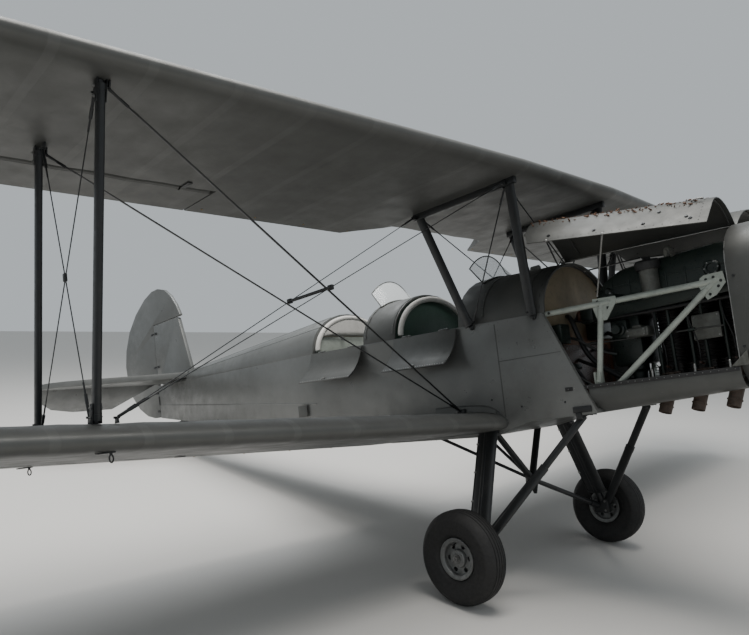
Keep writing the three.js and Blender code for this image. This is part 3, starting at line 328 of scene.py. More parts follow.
ENGINE = Finish("engine_black_green", "engine_metal", (0.010, 0.018, 0.015), (0.018, 0.026, 0.022), 0.34, 0.2,
    16.0, 220.0, 0.0006, dirt=(0.06, 0.045, 0.03), dirtiness=0.5, scratches=0.2)
IRON = Finish("cylinder_iron", "engine_metal", (0.016, 0.016, 0.016), (0.03, 0.027, 0.025), 0.5, 0.4, 20.0,
    260.0, 0.0005, dirt=(0.09, 0.05, 0.03), dirtiness=0.7, scratches=0.2)
CASTING = Finish("pale_casting", "engine_metal", (0.16, 0.165, 0.15), (0.08, 0.082, 0.074), 0.5, 0.4, 18.0,
    300.0, 0.0006, dirt=(0.07, 0.055, 0.04), dirtiness=0.8, scratches=0.1)
PLUG = Finish("insulator_brown", "engine_metal", (0.07, 0.03, 0.018), (0.045, 0.022, 0.015), 0.3, 0.0, 30.0,
    300.0, 0.0001, dirtiness=0.3)
SEAL = Finish("black_seal", "tyre_rubber", (0.008, 0.008, 0.009), (0.015, 0.015, 0.015), 0.55, 0.0, 20.0,
    500.0, 0.0003, dirt=(0.08, 0.07, 0.055), dirtiness=0.35)
EXHAUST = Finish("exhaust_heat_brown", "engine_metal", (0.055, 0.042, 0.034), (0.11, 0.085, 0.07), 0.6, 0.5,
    24.0, 260.0, 0.0006, dirt=(0.14, 0.06, 0.03), dirtiness=0.7, scratches=0.2)
STEEL = Finish("bright_steel", "wheel_alloy", (0.33, 0.33, 0.32), (0.19, 0.19, 0.185), 0.34, 0.8, 40.0, 500.0,
    0.0001, dirt=(0.08, 0.06, 0.045), dirtiness=0.6)
BRASS = Finish("dull_brass", "wheel_alloy", (0.36, 0.25, 0.1), (0.26, 0.18, 0.08), 0.36, 0.9, 40.0, 500.0,
    0.0001, dirt=(0.06, 0.05, 0.03), dirtiness=0.6)
DARK_SHEET = Finish("dark_sheet", "engine_metal", (0.035, 0.037, 0.035), (0.055, 0.056, 0.053), 0.5, 0.4, 7.0,
    300.0, 0.0003, dirtiness=0.6, scratches=0.3)
RUST = Finish("rust_brown", "firewall_sheet", (0.085, 0.038, 0.02), (0.17, 0.085, 0.045), 0.85, 0.0, 40.0,
    260.0, 0.0012, dirt=(0.04, 0.025, 0.015), dirtiness=0.8)
PAD = DopedFabric("white_sewn_cover", "seat_leather", (0.62, 0.61, 0.58), (0.53, 0.52, 0.49), 0.75, 0.0, 9.0,
    1400.0, 0.0003, dirt=(0.2, 0.18, 0.14), dirtiness=0.45)
WEBBING = DopedFabric("belt_webbing", "seat_leather", (0.09, 0.085, 0.06), (0.07, 0.065, 0.048), 0.85, 0.0,
    14.0, 1800.0, 0.0004, dirtiness=0.4)
DIAL = Finish("dial_black", "clear_sheet", (0.01, 0.01, 0.011), (0.014, 0.014, 0.015), 0.12, 0.0, 20.0, 200.0,
    0.00002, dirtiness=0.15, coat=0.8)
# The firewall's cream is dimmed, and below the line it turns rust-brown: real rust, and painted shade of the
# dim engine bay.
FIREWALL = StainedAndShadedSheet("firewall_stained_and_shaded", "firewall_sheet", (0.25, 0.205, 0.135), (0.19, 0.155, 0.1), 0.6,
    0.0, 6.0, 200.0, 0.0003, dirtiness=0.5, line=1.42, depth=0.1)
GREEN = Finish("cockpit_green_paint", "cockpit_green", (0.028, 0.068, 0.047), (0.036, 0.08, 0.058), 0.5, 0.0,
    8.0, 300.0, 0.0002, dirtiness=0.3, scratches=0.15)
LEATHER = Finish("seat_brown_leather", "seat_leather", (0.06, 0.033, 0.02), (0.04, 0.023, 0.015), 0.48, 0.0,
    12.0, 420.0, 0.0006, dirtiness=0.2)
CLEAR = ClearSheet("clear_screen", "clear_sheet", (0.86, 0.9, 0.9), (0.86, 0.9, 0.9), relief=0.002)
WOOD = LaminatedWood("propeller_laminations", "propeller_wood", (0.24, 0.11, 0.045), (0.15, 0.062, 0.026),
    0.28, 0.0, dirtiness=0.15, coat=0.6)


class Piece:
  """A mesh in the making, in the aircraft's frame unless it is given another."""

  def __init__(self, name: str, finish: Finish, where: Matrix = AIRCRAFT) -> None:
    """Start an empty piece.

    Args:
      name: the finished object's name.
      finish: what the first shapes are made of.
      where: the matrix from the piece's own frame to the world.
    """
    self.name = name
    self.where = where
    self.finishes = [finish]
    self.current = 0
    self.bm = bmesh.new()
    self.done = self.bm.faces.layers.int.new("done")

  def use(self, finish: Finish) -> Self:
    """Make the next shapes of another finish."""
    if finish not in self.finishes:
      self.finishes.append(finish)
    self.current = self.finishes.index(finish)
    return self

  def settle(self) -> Self:
    """Give the newest faces the current finish."""
    for face in self.fresh():
      face[self.done] = 1
      face.material_index = self.current
    return self

  def fresh(self) -> list:
    """The faces that have no finish yet."""
    return [face for face in self.bm.faces if not face[self.done]]

  def bevel(self, edges: list, width: float, segments: int = 2) -> None:
    """Round some edges."""
    ops.bevel(self.bm, geom=edges, offset=width, offset_type="OFFSET", segments=segments, profile=0.5,
        affect="EDGES", clamp_overlap=True, material=-1)

  def lift(self, geom: list, way: Vector) -> list:
    """Extrude faces along a way, and return the lifted vertices."""
    made = ops.extrude_face_region(self.bm, geom=geom)
    lifted = [item for item in made["geom"] if isinstance(item, bmesh.types.BMVert)]
    ops.translate(self.bm, vec=way, verts=lifted)
    ops.recalc_face_normals(self.bm, faces=self.fresh())
    return lifted

  def soften(self, verts: list, width: float) -> None:
    """Round the edges between the given vertices."""
    edges = {edge for vert in verts for edge in vert.link_edges}
    if width:
      self.bevel(list(edges), width)

  def box(self, low: Point, high: Point, round_edges: float = 0, turn: Matrix = LEVEL) -> Self:
    """Add a block between two corners, turned afterwards."""
    low, high = Vector(low), Vector(high)
    matrix = turn @ Matrix.Translation((low + high) / 2) @ Matrix.Diagonal((*(high - low), 1))
    made = ops.create_cube(self.bm, size=1, matrix=matrix)
    self.soften(made["verts"], round_edges)
    return self.settle()

  def rod(self, start: Point, end: Point, radius: float, end_radius: float | None = None, sides: int = 12,
      round_edges: float = 0) -> Self:
    """Add a round bar or cone between two points."""
    start, end = Vector(start), Vector(end)
    turn = (end - start).to_track_quat("Z", "Y").to_matrix().to_4x4()
    made = ops.create_cone(self.bm, cap_ends=True, cap_tris=False, segments=sides, radius1=radius,
        radius2=radius if end_radius is None else end_radius, depth=(end - start).length,
        matrix=Matrix.Translation((start + end) / 2) @ turn)
    if round_edges:
      ends = {edge for vert in made["verts"] for edge in vert.link_edges if
          any(len(face.verts) > 4 for face in edge.link_faces)}
      self.bevel(list(ends), round_edges)
    return self.settle()

  def ball(self, centre: Point, radius: float, detail: int = 2) -> Self:
    """Add a round head or knob."""
    ops.create_icosphere(self.bm, subdivisions=detail, radius=radius, matrix=Matrix.Translation(centre))
    return self.settle()

  def turned(self, profile: Outline, centre: Point, axis: Point, steps: int = 48) -> Self:
    """Add a lathe-turned body.

    Args:
      profile: radius and place along the axis; a closed one for a ring, or one that starts and
        ends at radius 0 for a solid body.
      centre: the origin of the profile.
      axis: the axis of the turning.
      steps: flat sides round the body.
    """
    turn = Matrix.Translation(centre) @ Vector(axis).to_track_quat("Z", "Y").to_matrix().to_4x4()
    verts = [self.bm.verts.new(turn @ Vector((r, 0, along))) for r, along in profile]
    ring = profile[0][0] > 0
    edges = [self.bm.edges.new((a, b)) for a, b in zip(verts, verts[1:] + verts[:1] if ring else verts[1:])]
    ops.spin(self.bm, geom=verts + edges, cent=centre, axis=turn.to_3x3() @ UP, angle=2 * pi, steps=steps,
        use_merge=True, use_duplicate=False)
    ops.remove_doubles(self.bm, verts=[v for v in self.bm.verts if v.is_valid], dist=1e-6)
    ops.recalc_face_normals(self.bm, faces=self.fresh())
    return self.settle()

  def tube(self, points: list[Point], radius: float, sides: int = 8, smooth: bool = True) -> Self:
    """Add a round tube through points, curved where smooth."""
    curve = bpy.data.curves.new("run", "CURVE")
    curve.dimensions = "3D"
    curve.bevel_depth = radius
    curve.bevel_resolution = max(0, sides // 2 - 2)
    curve.use_fill_caps = True
    spline = curve.splines.new("NURBS" if smooth and len(points) > 2 else "POLY")
    spline.points.add(len(points) - 1)
    for place, point in zip(spline.points, points):
      place.co = (*point, 1)
    if spline.type == "NURBS":
      spline.order_u = 3
      spline.use_endpoint_u = True
      spline.resolution_u = 6
    made = bpy.data.objects.new("run", curve)
    mesh = bpy.data.meshes.new_from_object(made)
    self.bm.from_mesh(mesh)
    bpy.data.objects.remove(made)
    bpy.data.curves.remove(curve)
    bpy.data.meshes.remove(mesh)
    return self.settle()

  def plate(self, outline: Outline, origin: Point, across: Point, up: Point, thick: float,
      round_edges: float = 0) -> Self:
    """Add a flat plate.

    Args:
      outline: corners in the plate's own two axes.
      origin: the outline's own origin.
      across: direction of the first axis.
      up: direction of the second axis.
      thick: thickness, laid along across x up.
    """
    across, up = Vector(across).normalized(), Vector(up).normalized()
    verts = [self.bm.verts.new(Vector(origin) + across * u + up * v) for u, v in outline]
    lifted = self.lift([self.bm.faces.new(verts)], across.cross(up) * thick)
    self.soften(verts + lifted, round_edges)
    return self.settle()

  def loop(self, points: list[Point]) -> list:
    """Add a closed ring of edges through points."""
    verts = [self.bm.verts.new(point) for point in points]
    return [self.bm.edges.new(ends) for ends in zip(verts, verts[1:] + verts[:1])]

  def loft(self, rings: list[list[Point]], round_edges: float = 0) -> Self:
    """Add a closed body through rings of the same number of points.

    Args:
      rings: the sections, in order, each going round the same way from the same place.
      round_edges: width of the rounding round both end faces.
    """
    loops = [self.loop(ring) for ring in rings]
    for low, high in zip(loops, loops[1:]):
      ops.bridge_loops(self.bm, edges=low + high)
    for ends in (loops[0], loops[-1]):
      ops.edgeloop_fill(self.bm, edges=ends)
    ops.recalc_face_normals(self.bm, faces=self.fresh())
    if round_edges:
      self.bevel([edge for edge in loops[0] + loops[-1] if edge.is_valid], round_edges, 3)
    return self.settle()

  def faired(self, start: Point, end: Point, chord: float, thick: float, sides: int = 20,
      ahead: Point = FORE) -> Self:
    """Add a streamlined bar whose long way lies fore and aft, blunt in front and sharp behind."""
    start, end = Vector(start), Vector(end)
    along = (end - start).normalized()
    side = along.cross(Vector(ahead)).normalized()
    nose = side.cross(along).normalized()
    turns = [2 * pi * i / sides for i in range(sides)]
    outline = [(chord / 2 * cos(a), thick / 2 * sin(a) * (0.8 + 0.28 * cos(a))) for a in turns]
    return self.loft([[at + nose * u + side * v for u, v in outline] for at in (start, end)])

  def pierced(self, outline: Outline, holes: list[Outline], origin: Point, across: Point, up: Point,
      thick: float) -> Self:
    """Add a flat plate with holes, laid out as for a plain plate."""
    across, up = Vector(across).normalized(), Vector(up).normalized()
    flat = lambda u, v: Vector(origin) + across * u + up * v
    edges = [edge for ring in (outline, *holes) for edge in self.loop([flat(u, v) for u, v in ring])]
    ops.triangle_fill(self.bm, use_beauty=True, use_dissolve=False, edges=edges)
    self.lift(self.fresh(), across.cross(up) * thick)
    return self.settle()

  def bolt(self, at: Point, out: Point, size: float = 0.008) -> Self:
    """Add a washer, a hexagon nut and the bolt's end, standing on a surface."""
    at, out = Vector(at), Vector(out).normalized()
    self.rod(at, at + out * size * 0.2, size, sides=16)
    self.rod(at, at + out * size * 0.85, size * 0.78, size * 0.74, sides=6)
    return self.rod(at, at + out * size * 1.25, size * 0.4, size * 0.34, sides=8)

  def rivet(self, at: Point, out: Point, size: float = 0.003) -> Self:
    """Add a low domed rivet head."""
    at, out = Vector(at), Vector(out).normalized()
    return self.rod(at - out * 0.001, at + out * size * 0.45, size, size * 0.45, sides=8)

  def row(self, kind: Callable, start: Point, end: Point, count: int, out: Point, size: float) -> Self:
    """Add a row of like heads from one point to another."""
    start, end = Vector(start), Vector(end)
    for i in range(count):
      kind(start.lerp(end, i / max(1, count - 1)), out, size)
    return self

  def mirror(self) -> Self:
    """Add the other side of everything so far."""
    made = ops.duplicate(self.bm, geom=self.bm.verts[:] + self.bm.edges[:] + self.bm.faces[:])
    verts = [item for item in made["geom"] if isinstance(item, bmesh.types.BMVert)]
    faces = [item for item in made["geom"] if isinstance(item, bmesh.types.BMFace)]
    ops.transform(self.bm, matrix=MIRROR, verts=verts)
    ops.reverse_faces(self.bm, faces=faces)
    return self

  def flipped(self, name: str) -> Self:
    """The same piece for the other side, under another name."""
    other = Piece(name, self.finishes[0], self.where)
    other.finishes = list(self.finishes)
    other.bm = self.bm.copy()
    other.done = other.bm.faces.layers.int["done"]
    ops.transform(other.bm, matrix=MIRROR, verts=other.bm.verts)
    ops.reverse_faces(other.bm, faces=other.bm.faces)
    return other

  def place(self, body: str = "airframe", replaces: tuple[str, ...] = (),
      crease: float = 32) -> bpy.types.Object:
    """Finish the piece and hand it to a body.

    Args:
      body: the body that carries it, or nothing where it is to span two.
      replaces: nodes that it stands for.
      crease: angle in degrees past which an edge is drawn sharp.

    Returns:
      The finished object, at the origin.
    """
    ops.transform(self.bm, matrix=self.where, verts=self.bm.verts)
    self.bm.faces.layers.int.remove(self.done)
    for face in self.bm.faces:
      face.smooth = True
    for edge in self.bm.edges:
      edge.smooth = edge.is_manifold and edge.calc_face_angle(0) < radians(crease)
    mesh = bpy.data.meshes.new(self.name)
    self.bm.to_mesh(mesh)
    self.bm.free()
    made = bpy.data.objects.new(self.name, mesh)
    bpy.context.scene.collection.objects.link(made)
    for finish in self.finishes:
      mesh.materials.append(finish.material())
    if body:
      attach(made, body)
    if replaces:
      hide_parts(*replaces)
    LOG.info("%s: %d faces on %s", self.name, len(mesh.polygons), body)
    return made


def body_of(node: str) -> str:
  """The name of the body that a node rides on."""
  return frame["nodes"][node]["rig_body"]


def copied(node: str, finish: Finish, round_edges: float = 0, crease: float = 32) -> Piece:
  """A merged copy of a node with rounded edges, in the aircraft's frame.

  Args:
    node: the node to copy.
    finish: its finish.
    round_edges: width of the rounding.
    crease: angle in degrees of the edges that are rounded.

  Returns:
    The piece, not yet placed.
  """
  piece = Piece(f"{node}_skin", finish)
  piece.bm.from_mesh(frame["nodes"][node].data)
  ops.remove_doubles(piece.bm, verts=piece.bm.verts, dist=2e-5)
  ops.dissolve_limit(piece.bm, angle_limit=radians(0.6), verts=piece.bm.verts, edges=piece.bm.edges)
  ops.transform(piece.bm, matrix=AIRCRAFT.inverted(), verts=piece.bm.verts)
  if round_edges:
    sharp = [edge for edge in piece.bm.edges if edge.is_manifold and edge.calc_face_angle(0) >
        radians(crease)]
    piece.bevel(sharp, round_edges)
  for face in piece.bm.faces:
    face.material_index = 0
  piece.settle()
  return piece


def dress(node: str, finish: Finish, round_edges: float) -> None:
  """Put a softened copy of a node in its place."""
  copied(node, finish, round_edges).place(body_of(node), (node,), 32)


@dataclass(frozen=True)
class Plane:
  """Where one level of wings lies, with the heights of its aerofoil."""

  root: float
  spar: float
  height: float
  rise: float
  sweep: float
  tilt: float = 0
  chord: float = 1.211
  spar_aft_of_nose: float = 0.126
  foil: tuple[tuple[float, float, float], ...] = ((0.0125, 0.014, -0.024), (0.05, 0.036, -0.033),
      (0.104, 0.05, -0.036), (0.2, 0.06, -0.037), (0.35, 0.061, -0.037), (0.5, 0.054, -0.036),
      (0.65, 0.04, -0.035), (0.77, 0.024, -0.034), (0.88, 0.005, -0.033), (1, -0.022, -0.029))

  def outboard(self, y: float) -> float:
    """How far a station lies outboard of the root."""
    return max(0, abs(y) - self.root)

  def nose(self, y: float) -> float:
    """Where the leading edge is at a station."""
    return self.spar + self.spar_aft_of_nose - self.outboard(y) * self.sweep

  def datum(self, x: float, y: float) -> float:
    """Height of the chord line at a point."""
    back = self.chord - (self.nose(y) - x)
    return self.height + self.outboard(y) * self.rise + back * self.tilt

  def skin(self, x: float, y: float, top: bool = True) -> float:
    """Height of the covering at a point, above or below."""
    share = (self.nose(y) - x) / self.chord
    rows = [row for row in self.foil if row[0] >= share] or [self.foil[-1]]
    high = rows[0]
    low = self.foil[max(0, self.foil.index(high) - 1)]
    reach = high[0] - low[0]
    blend = (share - low[0]) / reach if reach else 0
    side = 1 if top else 2
    return self.datum(x, y) + self.chord * (low[side] + blend * (high[side] - low[side]))

  def on_spar(self, y: float, aft: float) -> Vector:
    """A point on the chord line, at the front spar or so far aft of it."""
    x = self.spar - self.outboard(y) * self.sweep - aft
    return Vector((x, y, self.datum(x, y)))


UPPER = Plane(0.457, 0.351, 1.868, tan(radians(2.9)), tan(radians(7.29)))
LOWER = Plane(0.368, -0.019, 0.585, tan(radians(3.7)), tan(radians(4.1)), tan(radians(1.7)))
SPAR_SPACING = 0.614
HALF_WIDTH = 0.368


def longeron(x: float) -> float:
  """Height of the upper longeron."""
  return 1.155 - 0.033 * x


def belly(x: float) -> float:
  """Height of the fuselage's underside."""
  line = ((0.612, 0.622), (0.24, 0.612), (0.13, 0.582), (-0.04, 0.549), (-0.76, 0.552), (-4.44, 0.968))
  for (front, high), (back, low) in zip(line, line[1:]):
    if x >= back:
      return high + (front - x) / (front - back) * (low - high)
  return line[-1][1]


def side_at(x: float) -> float:
  """Half width of the fuselage."""
  return HALF_WIDTH if x > -1.437 else 0.026 + (HALF_WIDTH - 0.026) * (x + 4.44) / (4.44 - 1.437)


def arch(x: float, turn: float, half: float = HALF_WIDTH, height: float = 0.289, lift: float = 0) -> Vector:
  """A point on the decking's arch, from 0 on the starboard longeron to pi on the port one."""
  return Vector((x, -(half + lift) * cos(turn), longeron(x) + (height + lift) * sin(turn)))


def circle(count: int, start: float = 0, closed: bool = False) -> list[float]:
  """Angles spread evenly round a circle, with the first one again at the end of a closed one."""
  return [2 * pi * (i + start) / count for i in range(count + closed)]


def spread(start: float, end: float, steps: int) -> list[float]:
  """Values spread evenly from one to another, both included."""
  return [start + (end - start) * i / steps for i in range(steps + 1)]


def outward(turn: float) -> Vector:
  """The way out from an arch at a turn round it."""
  return Vector((0, -cos(turn), sin(turn)))


def ring(radius: float, steps: int = 16, centre: tuple[float, float] = (0, 0)) -> Outline:
  """Points round a circle."""
  return [(centre[0] + radius * cos(a), centre[1] + radius * sin(a)) for a in circle(steps)]


SIDES = ("right", "left")


def both(piece: Piece, body: str = "airframe", replaces: str = "", crease: float = 40) -> None:
  """Place a starboard piece and its port mirror image.

  Args:
    piece: the starboard piece, named without its side.
    body: the body, or its name before the side where it ends with an underscore.
    replaces: nodes it stands for, before the side, parted by spaces.
    crease: angle in degrees past which an edge is drawn sharp.
  """
  other = piece.flipped(f"{piece.name}_left")
  piece.name = f"{piece.name}_right"
  for side, made in zip(SIDES, (piece, other)):
    carrier = body + side if body.endswith("_") else body
    made.place(carrier, tuple(f"{node}_{side}" for node in replaces.split()), crease)


@dataclass
class Wheels:
  """Main wheels: a grooved tyre round a dished alloy hub with lightening holes."""

  track: float = 1.467
  radius: float = 0.2295
  rim: float = 0.102
  half_width: float = 0.0745
  grooves: tuple[float, ...] = (-0.034, -0.017, 0, 0.017, 0.034)
  holes: int = 6
  bolts: int = 6

  def crown(self, along: float) -> float:
    """Radius of the tread at a place across the tyre."""
    share = abs(along) / self.half_width
    return self.radius - 0.0295 * share ** 2.6

  def tyre_profile(self) -> Outline:
    """The section of the tyre, bead to bead, with its tread grooves."""
    half = []
    for groove in self.grooves:
      top = self.crown(groove)
      half += [(top, groove - 0.0028), (top - 0.0035, groove - 0.0018), (top - 0.0035, groove + 0.0018),
          (top, groove + 0.0028)]
    wall = [(self.rim + 0.0003, 0.044), (0.108, 0.051), (0.118, 0.058), (0.121, 0.0612), (0.125, 0.0612),
        (0.14, 0.0698), (0.165, 0.0745), (0.181, 0.0735), (0.186, 0.0742), (0.191, 0.0722), (0.206, 0.062),
        (0.216, 0.0505)]
    left = [(r, -y) for r, y in wall]
    return left + half + list(reversed(wall))

  def tyre(self) -> None:
    """Turn the tyres."""
    piece = Piece("tyre_rubber", TYRE)
    piece.turned(self.tyre_profile(), (0, -self.track / 2, 0), RIGHT, 96)
    both(piece, "wheel_", "tyre", 50)

  def hub(self) -> None:
    """Turn the hub's rim and boss, pierce its web and add the nuts."""
    piece = Piece("hub_alloy", RIM)
    centre, out = (0, -self.track / 2, 0), RIGHT
    rim = [(0.0815, -0.05), (0.096, -0.0535), (0.1005, -0.0525), (self.rim, -0.047), (self.rim, 0.047),
        (0.1005, 0.0525), (0.096, 0.0535), (0.089, 0.0515), (0.0815, 0.05), (0.0785, 0.046), (0.0785, 0.01),
        (0.0785, -0.046)]
    piece.turned(rim, centre, out, 72)
    boss = [(0.0208, -0.046), (0.04, -0.046), (0.044, -0.042), (0.046, -0.02), (0.046, 0.03), (0.043, 0.043),
        (0.0385, 0.046), (0.0208, 0.046)]
    piece.turned(boss, centre, out, 48)
    holes = [ring(0.0125, 14, (0.062 * cos(a), 0.062 * sin(a))) for a in
        (2 * pi * i / self.holes for i in range(self.holes))]
    for depth, thick in ((0.022, 0.006), (-0.028, 0.006)):
      piece.pierced(ring(0.0795, 48), [ring(0.0455, 36), *holes], (0, -self.track / 2 - depth, 0), FORE, UP,
          thick)
    piece.use(STEEL)
    for a in circle(self.bolts, 0.5):
      piece.bolt((0.0345 * cos(a), -self.track / 2 - 0.0455, 0.0345 * sin(a)), out, 0.0042)
    both(piece, "wheel_", "wheel_hub", 35)
    valve = Piece("valve", TYRE)
    valve.rod((0, -self.track / 2 - 0.04, 0.076), (0, -self.track / 2 - 0.07, 0.066), 0.004)
    valve.use(STEEL).rod((0, -self.track / 2 - 0.068, 0.0667), (0, -self.track / 2 - 0.077, 0.0638), 0.003)
    both(valve, "wheel_", crease=32)

  def build(self) -> None:
    """Make both wheels."""
    self.tyre()
    self.hub()


@dataclass
class Undercarriage:
  """Faired legs with radius rods, and the braced half-axles between them."""

  chord: float = 0.118
  thick: float = 0.044
  wheel: float = 0.7335
  inner: float = 0.6525
  foot: Point = (0.022, -0.6285, 0.04)
  top: Point = (-0.02, -0.372, 0.6)
  rod_foot: Point = (0.06, -0.6265, 0.04)
  rod_top: Point = (0.545, -0.33, 0.64)
  apex: Point = (-0.045, 0, 0.272)

  def leg(self) -> None:
    """One leg: fairing, its clamps, radius rod with its sleeve, axle knuckle and stub."""
    piece = Piece("gear_leg", SLATE)
    foot, top = Vector(self.foot), Vector(self.top)
    hidden = top.lerp(foot, 0.045)
    piece.faired(foot.lerp(top, 0.12), hidden, self.chord, self.thick, 28)
    piece.rod(foot, top.lerp(foot, 0.02), 0.021, sides=20)
    for share, wide in ((0.125, 1.08), (0.945, 1.1)):
      piece.faired(foot.lerp(top, share), foot.lerp(top, share + 0.022), self.chord * wide, self.thick * 1.12,
          28)
    low, high = Vector(self.rod_foot), Vector(self.rod_top)
    piece.faired(low, low.lerp(high, 0.56), 0.05, 0.027, 20)
    piece.faired(low.lerp(high, 0.54), low.lerp(high, 0.585), 0.053, 0.03, 20)
    piece.faired(low.lerp(high, 0.57), high.lerp(low, 0.04), 0.042, 0.024, 20)
    piece.rod(high.lerp(low, 0.05), high.lerp(low, 0), 0.012, sides=12)
    piece.box((-0.03, -self.inner + 0.0005, -0.027), (0.07, -self.inner + 0.0455, 0.062), 0.009)
    piece.rod((0, -self.inner + 0.01, 0), (0, -self.inner - 0.012, 0), 0.034, sides=28, round_edges=0.003)
    piece.rod((0, -self.inner + 0.01, 0), (0, -self.wheel - 0.046, 0), 0.02, sides=28).use(STEEL)
    piece.rod((0, -self.wheel - 0.044, 0), (0, -self.wheel - 0.0485, 0), 0.0195, sides=28)
    piece.rod((0, -self.wheel - 0.047, 0), (0, -self.wheel - 0.062, 0), 0.0155, 0.015, sides=6)
    piece.rod((0, -self.wheel - 0.06, 0), (0, -self.wheel - 0.068, 0), 0.008, 0.007, sides=16)
    for x, z in ((0.05, 0.045), (0.05, -0.012), (-0.014, 0.045)):
      piece.bolt((x, -self.inner + 0.001, z), RIGHT, 0.007).bolt((x, -self.inner + 0.045, z), LEFT, 0.007)
    both(piece, replaces="gear_leg")

  def root_fittings(self) -> None:
    """The fork that takes the radius rod under the firewall, and the leg's root clamp."""
    piece = Piece("gear_root_fitting", SLATE)
    high = Vector(self.rod_top)
    for dy in (-0.022, 0.014):
      piece.plate([(-0.035, -0.012), (0.03, -0.018), (0.028, 0.03), (-0.03, 0.03)],
          (high.x, high.y + dy + 0.008, high.z - 0.008), FORE, UP, 0.007, 0.001)
    piece.rod(high + LEFT * -0.03, high + LEFT * 0.03, 0.009, sides=14)
    piece.use(STEEL).bolt(high + LEFT * -0.03, RIGHT, 0.009)
    piece.use(SLATE).box((-0.075, -0.395, 0.553), (0.035, -0.35, 0.562), 0.002)
    piece.box((0.49, -0.3795, 0.632), (0.585, -0.3685, 0.662), 0.003).box((0.5, -0.376, 0.6),
        (0.53, -0.33, 0.64), 0.003)
    piece.use(STEEL)
    for x in (-0.06, 0.02):
      piece.bolt((x, -0.385, 0.554), DOWN, 0.006)
    both(piece, crease=32)

  def brake_hose(self) -> None:
    """A thin hose clipped down the back of the leg to the wheel."""
    piece = Piece("brake_hose", SEAL)
    foot, top = Vector(self.foot), Vector(self.top)
    back = FORE * (-self.chord / 2 - 0.004)
    run = [foot.lerp(top, share) + back for share in (0.93, 0.75, 0.5, 0.25, 0.14)]
    run += [Vector((-0.045, -self.inner + 0.02, 0.05)), Vector((-0.046, -self.inner + 0.006, 0.01)),
        Vector((-0.028, -self.inner + 0.004, -0.01))]
    piece.tube(run, 0.0042, 8).use(STEEL)
    for share in (0.85, 0.6, 0.35):
      at = foot.lerp(top, share) + back
      piece.box(at - Vector((0.006, 0.007, 0.005)), at + Vector((0.012, 0.007, 0.005)), 0.0015)
    both(piece, crease=32)

  def cross_frame(self) -> None:
    """The vee under the belly, its drag struts and the half-axles."""
    piece = Piece("gear_cross_frame", SLATE)
    apex = Vector(self.apex)
    end = Vector((0, -self.inner + 0.0463, 0.022))
    piece.faired(apex, (-0.1, -0.215, 0.562), 0.046, 0.03, 18)
    piece.rod(apex, (-0.52, -0.205, 0.556), 0.0095, sides=16).rod(apex, end, 0.0135, sides=18)
    piece.rod(end.lerp(apex, 0.12), end, 0.019, 0.02, sides=18)
    piece.box((-0.125, -0.235, 0.546), (-0.075, -0.195, 0.5495), 0.001)
    piece.box((-0.545, -0.225, 0.5455), (-0.495, -0.185, 0.5485), 0.001).use(STEEL)
    for x, y in ((-0.115, -0.226), (-0.085, -0.204), (-0.535, -0.216), (-0.505, -0.194)):
      piece.bolt((x, y, 0.546), DOWN, 0.005)
    piece.mirror().use(SLATE).box((-0.074, -0.026, 0.246), (-0.016, 0.026, 0.299), 0.007)
    piece.plate([(-0.03, 0), (0.03, 0), (0.012, -0.062), (-0.004, -0.062)], (-0.038, 0.006, 0.252), FORE, UP,
        0.009, 0.0015)
    piece.use(STEEL)
    for x in (-0.062, -0.028):
      piece.bolt((x, -0.026, 0.272), RIGHT, 0.007).bolt((x, 0.026, 0.272), LEFT, 0.007)
    piece.place("airframe", ("gear_frame",))

  def build(self) -> None:
    """Make the whole main undercarriage."""
    self.leg()
    self.root_fittings()
    self.brake_hose()
    self.cross_frame()


